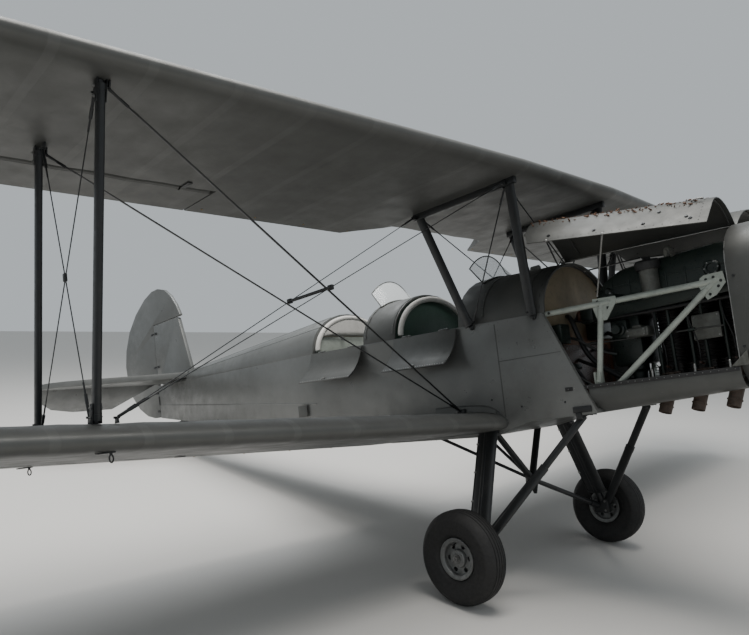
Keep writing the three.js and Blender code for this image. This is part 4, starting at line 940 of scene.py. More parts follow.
@dataclass
class Struts:
  """Interplane struts, and the cabane under the centre section."""

  station: float = 2.384
  chord: float = 0.062
  thick: float = 0.03
  cabane_chord: float = 0.056
  cabane_thick: float = 0.026
  cabane_y: float = 0.453
  cabane_feet: tuple[tuple[float, float], ...] = ((0.342, 0.351), (-0.048, -0.263))
  bar: float = 1.806

  def interplane(self) -> None:
    """One strut at each spar, with a shoe, two cheek plates and bolts at both ends."""
    for name, aft in (("front", 0), ("rear", SPAR_SPACING)):
      low, high = LOWER.on_spar(-self.station, aft), UPPER.on_spar(-self.station, aft)
      foot = Vector((low.x, low.y, LOWER.skin(low.x, low.y) + 0.001))
      head = Vector((high.x, high.y, UPPER.skin(high.x, high.y, False) - 0.001))
      piece = Piece(f"interplane_strut_{name}", SLATE)
      piece.faired(foot.lerp(head, 0.018), head.lerp(foot, 0.018), self.chord, self.thick, 28)
      piece.rod(foot, foot.lerp(head, 0.03), 0.013, sides=16).rod(head, head.lerp(foot, 0.03), 0.013,
          sides=16)
      for end, other in ((foot, head), (head, foot)):
        up = (other - end).normalized()
        piece.faired(end + up * 0.014, end + up * 0.036, self.chord * 1.05, self.thick * 1.12, 28)
        for dy in (-0.0175, 0.0145):
          piece.plate([(-0.016, -0.002), (0.016, -0.002), (0.01, 0.07), (-0.01, 0.07)],
              end + LEFT * (dy + 0.003), FORE, up, 0.003, 0.0008)
        piece.use(STEEL)
        for high_up in (0.022, 0.055):
          piece.bolt(end + up * high_up + LEFT * -0.0175, RIGHT, 0.0055)
          piece.bolt(end + up * high_up + LEFT * 0.0175, LEFT, 0.0055)
        piece.use(SLATE)
      both(piece, replaces=f"strut_{name}")

  def cabane(self) -> None:
    """Two legs a side up to a bar under the centre section's edge, with their fittings."""
    piece = Piece("cabane_legs", SLATE)
    for foot, top in self.cabane_feet:
      low = Vector((foot, -HALF_WIDTH - 0.02, longeron(foot) - 0.02))
      high = Vector((top, -self.cabane_y, self.bar + 0.02))
      piece.faired(low.lerp(high, 0.02), high, self.cabane_chord, self.cabane_thick, 24)
      piece.plate([(-0.02, 0.01), (0.02, 0.01), (0.008, -0.014), (-0.008, -0.014)],
          (foot, -HALF_WIDTH - 0.0006, longeron(foot) - 0.014), FORE, UP, 0.012, 0.003)
      up = (high - low).normalized()
      piece.faired(low + up * 0.03, low + up * 0.05, self.cabane_chord * 1.1, self.cabane_thick * 1.15, 24)
      piece.bolt((foot, -HALF_WIDTH - 0.012, longeron(foot) - 0.022), RIGHT, 0.005)
      piece.bolt((top, -self.cabane_y - 0.0145, self.bar + 0.006), RIGHT, 0.007).use(SLATE)
    back, front = self.cabane_feet[1][1] - 0.03, self.cabane_feet[0][1] + 0.04
    piece.box((back, -self.cabane_y - 0.014, self.bar - 0.0135), (front, -self.cabane_y + 0.014,
        self.bar + 0.0235), 0.004)
    both(piece, replaces="cabane")

  def build(self) -> None:
    """Make every strut above the fuselage."""
    self.interplane()
    self.cabane()


@dataclass
class Rigging:
  """Streamlined wires with forked ends, and a spacer bar."""

  chord: float = 0.0125
  thick: float = 0.0045
  root: Point = (-0.184, -0.386, 0.7)
  top_y: float = 2.362
  lug_y: float = 0.483
  lug_z: float = 1.804
  foot: Point = (-0.184, -2.3, 0.815)
  spacers: tuple[float, float] = (0.53, 0.53)

  def wire(self, piece: Piece, start: Point, end: Point, chord: float, thick: float) -> None:
    """One wire: its blade, and at each end a round shank, a barrel nut, a fork and a pin."""
    start, end = Vector(start), Vector(end)
    along = (end - start).normalized()
    piece.faired(start + along * 0.1, end - along * 0.1, chord, thick, 10)
    for at, way in ((start, along), (end, -along)):
      piece.rod(at + way * 0.04, at + way * 0.13, 0.0034, sides=8)
      piece.rod(at + way * 0.05, at + way * 0.086, 0.0062, sides=6)
      piece.rod(at + way * 0.006, at + way * 0.052, 0.0058, 0.005, sides=10)
      piece.rod(at - LEFT * 0.011, at + LEFT * 0.011, 0.0042, sides=8)

  def lug(self, piece: Piece, at: Point, stand: Point, reach: float) -> None:
    """A pierced plate on a surface, that a fork is pinned to."""
    piece.plate([(-0.017, 0), (0.017, 0), (0.012, reach * 0.75), (0, reach), (-0.012, reach * 0.75)],
        Vector(at) - Vector(stand) * reach * 0.85 + LEFT * 0.0025, FORE, stand, 0.005, 0.0008)

  def flying(self) -> None:
    """Two wires up from the fuselage's side to the upper wing's spars."""
    piece = Piece("flying_wire", SLATE)
    root = Vector((self.root[0], self.root[1], LOWER.skin(self.root[0], self.root[1]) + 0.012))
    for aft in (0, SPAR_SPACING):
      spot = UPPER.on_spar(-self.top_y, aft)
      top = Vector((spot.x, spot.y, UPPER.skin(spot.x, spot.y, False) - 0.022))
      self.wire(piece, root, top, 0.0145, 0.0055)
      self.lug(piece, top, DOWN, 0.026)
    piece.box(root + Vector((-0.034, -0.0065, -0.029)), root + Vector((0.028, 0.0165, 0.013)), 0.003)
    piece.use(STEEL).bolt(root + Vector((-0.024, -0.0065, -0.002)), RIGHT, 0.006)
    both(piece, replaces="flying_wires", crease=32)

  def landing(self) -> None:
    """Two wires down from the cabane to one lug by the front strut, held apart by a bar."""
    piece = Piece("landing_wire", SLATE)
    foot = Vector((self.foot[0], self.foot[1], LOWER.skin(self.foot[0], self.foot[1]) + 0.02))
    held = []
    for spar, share in zip((UPPER.spar, UPPER.spar - SPAR_SPACING), self.spacers):
      start = Vector((spar - 0.012, -self.lug_y, self.lug_z))
      self.wire(piece, start, foot, self.chord, self.thick)
      piece.box(start + Vector((-0.011, -0.007, -0.009)), start + Vector((0.011, 0.0155, 0.009)), 0.002)
      held.append(start.lerp(foot, share))
    front, back = held
    piece.rod(front, back, 0.0075, sides=12)
    for at in held:
      piece.box(at - Vector((0.014, 0.008, 0.011)), at + Vector((0.014, 0.008, 0.011)), 0.003)
    self.lug(piece, foot, UP, 0.024)
    both(piece, replaces="landing_wires", crease=32)

  def crossed(self) -> None:
    """Thin crossed wires between the two interplane struts, clamped where they meet."""
    piece = Piece("incidence_wire", SLATE)
    station = -2.384
    ends = []
    for aft, inward in ((0.05, 1), (SPAR_SPACING - 0.05, -1)):
      low = LOWER.on_spar(station, aft)
      high = UPPER.on_spar(station, aft)
      ends.append((Vector((low.x, station, LOWER.skin(low.x, station) + 0.022)),
          Vector((high.x, station, UPPER.skin(high.x, station, False) - 0.022))))
    (front_low, front_high), (rear_low, rear_high) = ends
    for low, high in ((front_low, rear_high), (rear_low, front_high)):
      self.wire(piece, low, high, 0.009, 0.004)
      self.lug(piece, low, UP, 0.026)
      self.lug(piece, high, DOWN, 0.026)
    middle = (front_low + rear_high + rear_low + front_high) / 4
    piece.box(middle - Vector((0.011, 0.006, 0.016)), middle + Vector((0.011, 0.006, 0.016)), 0.004)
    both(piece, crease=32)

  def cabane_bracing(self) -> None:
    """Diagonals in the side of the cabane, and crossed ones between its two sides."""
    piece = Piece("cabane_bracing", SLATE)
    bar = 1.79
    self.wire(piece, (0.318, -0.445, bar), (-0.02, -0.392, longeron(-0.02) + 0.012), 0.008, 0.004)
    across = [((0.335, -0.44, bar), (0.322, 0.392, longeron(0.3) + 0.01)),
        ((-0.245, -0.44, bar), (-0.03, 0.392, longeron(0) + 0.01))]
    for start, end in across:
      self.wire(piece, start, end, 0.008, 0.004)
    both(piece, crease=32)

  def build(self) -> None:
    """Rig the aircraft."""
    self.flying()
    self.landing()
    self.crossed()
    self.cabane_bracing()


class Level(Enum):
  """The two levels of wings."""

  UPPER = "upper"
  LOWER = "lower"


@dataclass
class Wing:
  """One level of wings: covered panels with ribs that show through the fabric."""

  level: Level
  plane: Plane
  rib_spacing: float = 0.3
  sag: float = 0.0038
  slices: int = 6

  def hang(self, place: Vector) -> float:
    """How far the fabric draws in at a point between two ribs."""
    bay = abs(sin(pi * (abs(place.y) - self.plane.root) / self.rib_spacing)) ** 1.3
    share = (self.plane.nose(place.y) - place.x) / self.plane.chord
    front = min(1, max(0, (share - 0.06) / 0.12))
    back = min(1, max(0, (1 - share) / 0.12))
    return self.sag * bay * front * back

  def cover(self, node: str) -> None:
    """Stretch fabric over the ribs of one panel or aileron."""
    piece = copied(node, WING_SHADED)
    span = [vert.co.y for vert in piece.bm.verts]
    step = self.rib_spacing / self.slices
    first = ceil(min(span) / step)
    for i in range(first, floor(max(span) / step) + 1):
      side = self.plane.root if i > 0 else -self.plane.root
      ops.bisect_plane(piece.bm, geom=piece.bm.verts[:] + piece.bm.edges[:] + piece.bm.faces[:], dist=1e-6,
          plane_co=(0, i * step + fmod(side, step), 0), plane_no=LEFT)
    piece.bm.normal_update()
    for vert in piece.bm.verts:
      up = vert.normal.z
      vert.co.z -= copysign(self.hang(vert.co), up) if abs(up) > 0.3 else 0
    piece.place(body_of(node), (node,), 78)

  def trim(self) -> None:
    """Hinge brackets and drain rings on each half wing."""
    plane = self.plane
    piece = Piece(f"{self.level.value}_wing_trim", SLATE)
    for share in (0.08, 0.5, 0.92):
      y = -(1.565 + 1.995 * share)
      x = plane.nose(y) - 0.77 * plane.chord
      for top in (True, False):
        z = plane.skin(x + 0.07, y, top)
        way = 1 if top else -1
        piece.box((x + 0.034, y - 0.012, min(z, z + way * 0.004)),
            (x + 0.105, y + 0.012, max(z, z + way * 0.004)), 0.0015)
    piece.use(BRASS)
    for k in range(4):
      y = -(0.6 + 0.3 * k)
      x = plane.nose(y) - 0.955 * plane.chord
      piece.turned([(0.0015, 0), (0.0055, 0), (0.005, 0.002), (0.0015, 0.001)],
          (x, y, plane.skin(x, y, False)), DOWN, 12)
    both(piece)

  def rings(self) -> None:
    """A tie-down ring under the lower wing's front spar, and the horn under its aileron."""
    for name, carrier, y, share in (("tie_down_ring", "airframe", -2.36, 0.065),
        ("aileron_horn", "aileron_lower_", -2.32, 0.9)):
      piece = Piece(name, SLATE)
      x = self.plane.nose(y) - share * self.plane.chord
      z = self.plane.skin(x, y, False)
      piece.box((x - 0.014, y - 0.05, z - 0.004), (x + 0.014, y + 0.012, z + 0.001), 0.0015)
      piece.rod((x, y, z - 0.002), (x, y, z - 0.012), 0.0055, sides=10)
      hoop = [(x, y + 0.007 * sin(a), z - 0.023 + 0.013 * cos(a)) for a in
          (2 * pi * k / 20 for k in range(21))]
      piece.tube(hoop, 0.0028, 8, False)
      both(piece, carrier)

  def build(self) -> None:
    """Cover every panel of this level."""
    for side in SIDES:
      self.cover(f"{self.level.value}_wing_{side}")
      self.cover(f"aileron_{self.level.value}_{side}")
    if self.level is Level.UPPER:
      self.cover("centre_section")
    self.trim()
    if self.level is Level.LOWER:
      self.rings()


@dataclass
class Airframe:
  """The pieces whose form is already right: they get rounded edges and their finish."""

  edges: float = 0.0015
  finishes: dict[str, Finish] = field(default_factory=lambda: {"fuselage": SILVER, "rear_decking": SILVER,
      "front_decking": METAL, "mid_decking": METAL, "tailplane": SILVER, "elevator": SILVER, "fin": SILVER,
      "rudder": SILVER})

  def build(self) -> None:
    """Dress each node with a softened copy of itself."""
    for node, finish in self.finishes.items():
      dress(node, finish, self.edges)


@dataclass
class Engine:
  """Four inverted cylinders in line under a smooth crankcase, with all that hangs on them."""

  cylinders: tuple[float, ...] = (0.86, 1.01, 1.16, 1.31)
  fins: int = 15
  thrust: float = 1.195
  bearer_back: float = 0.330
  bearer_front: float = 0.222
  bearer_z: float = 1.135
  node: tuple[float, float] = (0.592, 0.668)
  rail: float = 0.014

  def rail_y(self, x: float) -> float:
    """How far out the bearers' rail is."""
    return self.bearer_back - (x - 0.366) * (self.bearer_back - self.bearer_front) / 0.81

  def crankcase(self) -> None:
    """The long rounded case with its joint flange, ribs, studs and nose."""
    piece = Piece("crankcase", ENGINE)
    outline = [(0.56, 1.2), (0.62, 1.262), (0.7, 1.3), (0.85, 1.31), (1.15, 1.318), (1.36, 1.3), (1.42, 1.27),
        (1.42, 1.09), (0.56, 1.062)]
    piece.plate(outline, (0, 0.15, 0), FORE, UP, 0.3, 0.03)
    for z, wide, tall in ((1.128, 0.158, 0.011), (1.214, 0.153, 0.007)):
      piece.box((0.572, -wide, z), (1.416, wide, z + tall), 0.002)
    for i in range(9):
      x = 0.66 + 0.088 * i
      piece.box((x - 0.004, -0.1545, 1.14), (x + 0.004, 0.1545, 1.24), 0.0015)
    piece.use(STEEL)
    for side in (-1, 1):
      piece.row(piece.bolt, (0.61, side * 0.1525, 1.139), (1.39, side * 0.1525, 1.139), 19, UP, 0.0045)
      piece.row(piece.bolt, (0.72, side * 0.105, 1.302), (1.34, side * 0.105, 1.308), 9, (0, side * 0.5, 1),
          0.005)
    piece.use(ENGINE)
    piece.turned([(0, -0.012), (0.036, -0.012), (0.036, 0.006), (0.03, 0.011), (0.021, 0.011), (0.021, 0.003),
        (0, 0.003)], (1.129, -0.152, 1.205), RIGHT, 32)
    piece.use(STEEL)
    for a in circle(6):
      piece.bolt((1.129 + 0.0285 * cos(a), -0.163, 1.205 + 0.0285 * sin(a)), RIGHT, 0.0035)
    piece.use(ENGINE)
    piece.turned([(0, -0.06), (0.02, -0.06), (0.02, 0), (0.012, 0.008), (0, 0.008)], (0.64, -0.16, 1.202),
        RIGHT, 24)
    piece.turned([(0, 0), (0.128, 0), (0.128, 0.012), (0.108, 0.02), (0.094, 0.07), (0.06, 0.085),
        (0.052, 0.12), (0.042, 0.12), (0.042, 0.15), (0, 0.15)], (1.415, 0, self.thrust), FORE, 48)
    piece.use(STEEL)
    for a in circle(10):
      piece.bolt((1.427, 0.118 * cos(a), self.thrust + 0.118 * sin(a)), FORE, 0.0055)
    piece.place("airframe", ("engine",))

  def filler(self) -> None:
    """The pale oil filler with its dark cap, and the breather beside it."""
    piece = Piece("oil_filler", CASTING)
    piece.turned([(0, 0), (0.042, 0), (0.042, 0.142), (0, 0.142)], (0.855, -0.158, 1.13), (0, -0.06, 1), 32)
    piece.use(SEAL).turned([(0, 0.13), (0.055, 0.13), (0.057, 0.136), (0.057, 0.166), (0.05, 0.176),
        (0.02, 0.179), (0.017, 0.19), (0, 0.19)], (0.855, -0.158, 1.13), (0, -0.06, 1), 24)
    piece.use(CASTING).tube([(0.93, -0.12, 1.3), (0.93, -0.13, 1.34), (0.96, -0.15, 1.345),
        (0.975, -0.165, 1.3)], 0.011, 10)
    piece.place(crease=32)

  def one_cylinder(self, piece: Piece, x: float) -> None:
    """A finned barrel and head, its rocker boxes, push-rod tubes and plugs."""
    piece.use(IRON)
    barrel = [(0, 0), (0.062, 0), (0.062, 0.022)]
    for i in range(self.fins):
      z = 0.03 + i * 0.0165
      barrel += [(0.057, z), (0.0765, z + 0.0015), (0.0765, z + 0.0035), (0.057, z + 0.005)]
    barrel += [(0.06, 0.285), (0, 0.285)]
    piece.turned(barrel, (x, 0, 1.092), DOWN, 24)
    piece.box((x - 0.06, -0.092, 0.748), (x + 0.06, 0.098, 0.812), 0.012)
    for i in range(5):
      z = 0.752 + i * 0.0125
      piece.box((x - 0.067, -0.103, z), (x + 0.067, 0.105, z + 0.0028), 0.001)
    piece.use(ENGINE)
    for y in (-0.052, 0.052):
      piece.box((x - 0.052, y - 0.04, 0.7), (x + 0.052, y + 0.04, 0.752), 0.014)
      piece.box((x - 0.056, y - 0.044, 0.726), (x + 0.056, y + 0.044, 0.732), 0.002)
    piece.use(STEEL)
    for y in (-0.052, 0.052):
      for dx in (-0.04, 0.04):
        piece.bolt((x + dx, y, 0.701), DOWN, 0.005)
    piece.use(ENGINE)
    for dx in (-0.031, 0.031):
      piece.rod((x + dx, -0.112, 1.115), (x + dx, -0.096, 0.745), 0.0085, sides=14)
      for z, r in ((1.1, 0.0125), (0.768, 0.0125)):
        y = -0.112 + (1.115 - z) / 0.37 * 0.016
        piece.rod((x + dx, y, z), (x + dx, y, z - 0.022), r, sides=14)
    for y in (-0.1, 0.102):
      out = copysign(1, y)
      piece.use(DARK_SHEET).rod((x + 0.012, y * 0.9, 0.79), (x + 0.012, y + out * 0.016, 0.794), 0.0095,
          sides=6)
      piece.use(PLUG).rod((x + 0.012, y + out * 0.014, 0.794), (x + 0.012, y + out * 0.05, 0.802), 0.0065,
          0.0055, sides=12)

  def cylinders_and_heads(self) -> None:
    """All four cylinders."""
    for i, x in enumerate(self.cylinders):
      piece = Piece(f"cylinder_{i + 1}", IRON)
      self.one_cylinder(piece, x)
      piece.place()

  def exhausts(self) -> None:
    """Four open stubs that lean out and aft through the lower cowl, with flanges and nuts."""
    piece = Piece("exhaust_stubs", EXHAUST)
    for x in self.cylinders:
      start, end = Vector((x + 0.01, -0.085, 0.765)), Vector((x - 0.03, -0.15, 0.59))
      way = (end - start)
      length = way.length
      pipe = [(0.0292, 0), (0.0292, length), (0.0275, length + 0.001), (0.0255, length),
          (0.0255, length * 0.35), (0, length * 0.35 - 0.001), (0, 0)]
      piece.turned([(0, 0)] + pipe[:-1], start, way, 28)
      piece.turned([(0.0296, length * 0.82), (0.0325, length * 0.825), (0.0325, length * 0.845),
          (0.0296, length * 0.85)], start, way, 28)
      piece.box(start + Vector((-0.043, -0.03, 0)), start + Vector((0.043, 0.02, 0.008)), 0.003).use(STEEL)
      for dx in (-0.034, 0.034):
        piece.bolt(start + Vector((dx, -0.012, 0)), DOWN, 0.006)
      piece.use(EXHAUST)
    piece.place()

  def induction(self) -> None:
    """The intake manifold with its branches, and the carburettor below it."""
    piece = Piece("intake_manifold", CASTING)
    y = 0.135
    piece.use(ENGINE).tube([(0.82, y, 0.9), (1, y, 0.9), (1.2, y, 0.9), (1.34, y, 0.9)], 0.022, 14, False)
    for x in self.cylinders:
      piece.tube([(x, y, 0.9), (x, y - 0.01, 0.85), (x, y - 0.03, 0.8), (x, 0.08, 0.785)], 0.019, 12)
    piece.box((1.04, y - 0.035, 0.8), (1.11, y + 0.035, 0.885), 0.012)
    piece.box((1.03, y - 0.042, 0.74), (1.12, y + 0.042, 0.8), 0.014)
    piece.use(STEEL).rod((1.02, y - 0.05, 0.83), (1.13, y - 0.05, 0.83), 0.004).place()
    duct = Piece("air_duct", DARK_SHEET)
    top, wall = 1.075, 0.0025
    duct.plate([(0.75, 0.108), (1.395, 0.108), (1.395, 0.183)], (0, 0, top), FORE, LEFT, wall, 0.0005)
    duct.box((1.392, 0.105, 0.772), (1.3945, 0.183, top), 0.0008)
    duct.loft([[(0.75, 0.108, z), (0.75, 0.111, z), (1.395, 0.184, z), (1.395, 0.181, z)] for z in (0.772,
        top)])
    duct.use(CASTING)
    for i in range(6):
      share = (i + 0.5) / 6
      duct.rivet((0.75 + 0.645 * share, 0.1115 + 0.073 * share, 1.05), (-0.11, 1, 0), 0.004)
    duct.place()

  def magnetos(self) -> None:
    """Two magnetos behind the case with their caps, and the pumps below."""
    piece = Piece("magnetos", ENGINE)
    piece.box((0.5, -0.075, 1.075), (0.562, 0.075, 1.188), 0.012)
    for y in (-0.045, 0.045):
      piece.box((0.432, y - 0.036, 1.075), (0.505, y + 0.036, 1.16), 0.014).use(PLUG)
      piece.turned([(0, 0), (0.034, 0), (0.036, 0.012), (0.03, 0.026), (0.012, 0.03), (0, 0.03)],
          (0.434, y, 1.122), AFT, 24)
      piece.use(ENGINE)
    piece.box((0.592, -0.093, 0.832), (0.744, 0.093, 1.098), 0.014)
    piece.box((0.618, -0.132, 0.965), (0.698, 0.132, 1.058), 0.014)
    piece.turned([(0, 0), (0.052, 0), (0.052, 0.03), (0.04, 0.045), (0.036, 0.11), (0, 0.11)],
        (0.67, 0, 0.84), DOWN, 32)
    piece.turned([(0, 0), (0.03, 0), (0.03, 0.016), (0.022, 0.02), (0.022, 0.05), (0, 0.05)],
        (0.66, -0.128, 1.01), RIGHT, 28)
    piece.use(CASTING).box((0.7, -0.17, 0.955), (0.816, -0.095, 1.005), 0.012)
    piece.box((0.712, -0.176, 0.962), (0.804, -0.168, 0.998), 0.003)
    piece.box((0.735, -0.16, 1.003), (0.78, -0.115, 1.015), 0.004).use(STEEL)
    for x in (0.72, 0.796):
      for z in (0.968, 0.992):
        piece.bolt((x, -0.1755, z), RIGHT, 0.0042)
    piece.use(CASTING).box((1, -0.128, 0.9), (1.122, -0.112, 1.015), 0.004).use(STEEL)
    for x in (1.01, 1.112):
      for z in (0.912, 1.003):
        piece.bolt((x, -0.1275, z), RIGHT, 0.0045)
    piece.place()

  def leads(self) -> None:
    """Ignition leads in a rail, oil and fuel pipes, and control rods."""
    piece = Piece("plug_leads", SEAL)
    for side in (-1, 1):
      y = side * 0.148
      piece.tube([(0.62, y * 0.9, 1.075), (0.8, y, 1.068), (1.1, y, 1.068), (1.34, y, 1.066)], 0.0085, 10)
      for x in self.cylinders:
        piece.tube([(x - 0.02, y, 1.066), (x - 0.016, y * 1.06, 1), (x + 0.02, y * 1.12, 0.9),
            (x + 0.02, y * 1.1, 0.83), (x + 0.013, y * 0.99, 0.803)], 0.0034, 6)
      for k in range(4):
        piece.tube([(0.42, side * 0.045, 1.11 + 0.012 * k), (0.39, side * (0.07 + 0.01 * k), 1.1),
            (0.46, side * 0.13, 1.085), (0.56, side * 0.14, 1.08), (0.63, y * 0.92, 1.076)], 0.0033, 6)
    piece.place(crease=32)
    pipes = Piece("pipes", DARK_SHEET)
    runs = [([(0.949, -0.18, 0.95), (1.05, -0.182, 0.949), (1.152, -0.18, 0.945)], 0.0042),
        ([(0.509, -0.2, 0.963), (0.64, -0.202, 0.956), (0.772, -0.2, 0.952)], 0.0042),
        ([(0.372, -0.16, 1.02), (0.46, -0.18, 1), (0.52, -0.15, 0.93), (0.6, -0.11, 0.9)], 0.007),
        ([(0.372, -0.05, 0.9), (0.45, -0.06, 0.86), (0.55, -0.05, 0.82), (0.66, -0.05, 0.77)], 0.009),
        ([(0.372, 0.12, 0.95), (0.5, 0.13, 0.93), (0.6, 0.12, 0.9)], 0.008),
        ([(0.372, -0.24, 0.86), (0.44, -0.25, 0.84), (0.52, -0.24, 0.76), (0.62, -0.2, 0.72),
        (0.9, -0.17, 0.71), (1.2, -0.16, 0.715)], 0.0055)]
    for run, radius in runs:
      pipes.tube(run, radius, 10)
    pipes.use(ENGINE)
    for at, way in (((0.53, -0.19, 0.962), (0.57, -0.192, 0.96)), ((1, -0.181, 0.9495),
        (1.03, -0.1815, 0.949)), ((0.59, -0.115, 0.904), (0.612, -0.1, 0.896))):
      pipes.rod(at, way, 0.0085, sides=6)
    pipes.use(SEAL)
    for run, radius in (([(0.372, -0.1, 1.13), (0.41, -0.14, 1.12), (0.45, -0.16, 1.02), (0.47, -0.12, 0.9),
        (0.56, -0.06, 0.8), (0.64, -0.03, 0.75)], 0.013), ([(0.372, 0.2, 1.05), (0.43, 0.19, 1.04),
        (0.5, 0.16, 1), (0.62, 0.12, 1)], 0.011), ([(0.372, -0.28, 0.94), (0.42, -0.27, 0.92),
        (0.47, -0.23, 0.83), (0.5, -0.2, 0.75)], 0.008)):
      pipes.tube(run, radius, 12)
    pipes.place(crease=32)

  def firewall_fittings(self) -> None:
    """The collector box, pump and filter, and a dark brown pad over the firewall's lower half that stands for
    rust there and painted shade.
    """
    piece = Piece("firewall_fittings", ENGINE)
    piece.box((0.366, -0.28, 0.98), (0.43, -0.19, 1.08), 0.01)
    piece.turned([(0, 0), (0.035, 0), (0.035, 0.09), (0.028, 0.1), (0, 0.1)], (0.41, -0.2, 0.86), DOWN, 28)
    piece.box((0.366, -0.24, 0.845), (0.45, -0.16, 0.872), 0.004)
    piece.use(STEEL).turned([(0, 0), (0.03, 0), (0.032, 0.02), (0.026, 0.05), (0, 0.052)],
        (0.4, -0.24, 0.745), DOWN, 28)
    # dark brown pad: rust on the lower firewall, together with painted shade under the bearer
    piece.use(PLUG).box((0.366, -0.32, 0.7), (0.372, 0.3, 0.98), 0.002)
    piece.use(ENGINE).box((0.366, 0.08, 1), (0.44, 0.24, 1.12), 0.012).use(STEEL)
    for y in (-0.3, -0.15, 0, 0.15, 0.28):
      for z in (0.72, 0.96):
        piece.bolt((0.3715, y, z), FORE, 0.005)
    piece.place()

  def bearer(self) -> None:
    """The pale tubes each side with clustered ends, gusset plates, clamps and bolts."""
    piece = Piece("engine_mount", BEARER)
    x0, z0 = self.node
    at = lambda x, z: Vector((x, -self.rail_y(x), z))
    piece.rod(at(0.3675, self.bearer_z), at(1.182, self.bearer_z), self.rail, sides=24)
    piece.rod(at(0.662, self.bearer_z), at(x0, z0), self.rail, sides=24)
    piece.rod(at(1.15, self.bearer_z - 0.005), at(x0 + 0.01, z0), self.rail, sides=24)
    piece.rod(at(0.3675, z0 - 0.01), at(x0 + 0.008, z0), self.rail * 0.9, sides=20)
    piece.ball(at(1.182, self.bearer_z), self.rail * 0.98, 3)
    foot = at(x0, z0)
    piece.rod(foot - LEFT * 0.02, foot + LEFT * 0.02, 0.021, sides=24, round_edges=0.003)
    for share in (0.17, 0.2):
      spot = foot.lerp(at(0.662, self.bearer_z), share)
      up = (at(0.662, self.bearer_z) - foot).normalized()
      piece.rod(spot, spot + up * 0.012, 0.0175, sides=24, round_edges=0.002)
    fork = at(0.606, 0.785)
    for dx in (-0.017, 0.011):
      piece.box(fork + Vector((dx, -0.02, -0.03)), fork + Vector((dx + 0.006, 0.02, 0.03)), 0.003)
    front = [(1.092, 1.122), (1.1, 1.158), (1.118, 1.168), (1.196, 1.17), (1.203, 1.12), (1.16, 1.075),
        (1.12, 1.06)]
    window = [(1.118, 1.108), (1.146, 1.108), (1.152, 1.126), (1.12, 1.126)]
    y = -self.rail_y(1.142) - 0.0035
    piece.pierced(front, [window], (0, y, 0), FORE, UP, 0.0042)
    middle = [(0.618, 1.13), (0.625, 1.162), (0.74, 1.156), (0.742, 1.13), (0.684, 1.052), (0.64, 1.052)]
    notch = [(0.69, 1.096), (0.704, 1.112), (0.69, 1.116)]
    y_mid = -self.rail_y(0.675) - 0.0035
    piece.pierced(middle, [notch], (0, y_mid, 0), FORE, UP, 0.0042)
    for x in (0.69, 1.15):
      piece.box((x - 0.018, -self.rail_y(x) - 0.013, self.bearer_z - 0.006),
          (x + 0.018, -self.rail_y(x) + 0.0158, self.bearer_z + 0.012), 0.003)
    piece.use(SLATE)
    for x, z in ((1.125, 1.148), (1.156, 1.152), (1.184, 1.132), (1.134, 1.082), (1.172, 1.11)):
      piece.bolt((x, y - 0.0042, z), RIGHT, 0.0062)
    for x, z in ((0.649, 1.146), (0.655, 1.122), (0.655, 1.074)):
      piece.bolt((x, y_mid - 0.0042, z), RIGHT, 0.0062)
    for x in (0.378, 0.408):
      piece.bolt((x, -self.rail_y(x) - 0.0135, self.bearer_z), RIGHT, 0.007)
    piece.rod(foot - LEFT * 0.026, foot + LEFT * 0.026, 0.0075, sides=6)
    both(piece, replaces="engine_bearer")
    feet = Piece("engine_feet", ENGINE)
    for x in (0.69, 1.15):
      reach = self.rail_y(x) - 0.0165
      feet.box((x - 0.025, -reach + 0.005, self.bearer_z + 0.003), (x + 0.025, -0.13, self.bearer_z + 0.04),
          0.006)
      feet.box((x - 0.017, -reach, self.bearer_z + 0.003), (x + 0.017, -0.14, self.bearer_z + 0.035), 0.003)
      feet.use(STEEL).bolt((x, -reach + 0.03, self.bearer_z + 0.038), UP, 0.009).use(ENGINE)
    feet.mirror().place()

  def build(self) -> None:
    """Make the engine and what carries it."""
    self.crankcase()
    self.filler()
    self.cylinders_and_heads()
    self.exhausts()
    self.induction()
    self.magnetos()
    self.leads()
    self.firewall_fittings()
    self.bearer()


@dataclass(frozen=True)
class Hinged:
  """A panel that is drawn shut and stands turned about its hinge."""

  point: Point
  axis: Point
  angle: float

  def matrix(self) -> Matrix:
    """The turn from shut to where the panel stands."""
    carry = Matrix.Translation(self.point)
    return carry @ Matrix.Rotation(radians(self.angle), 4, Vector(self.axis)) @ carry.inverted()


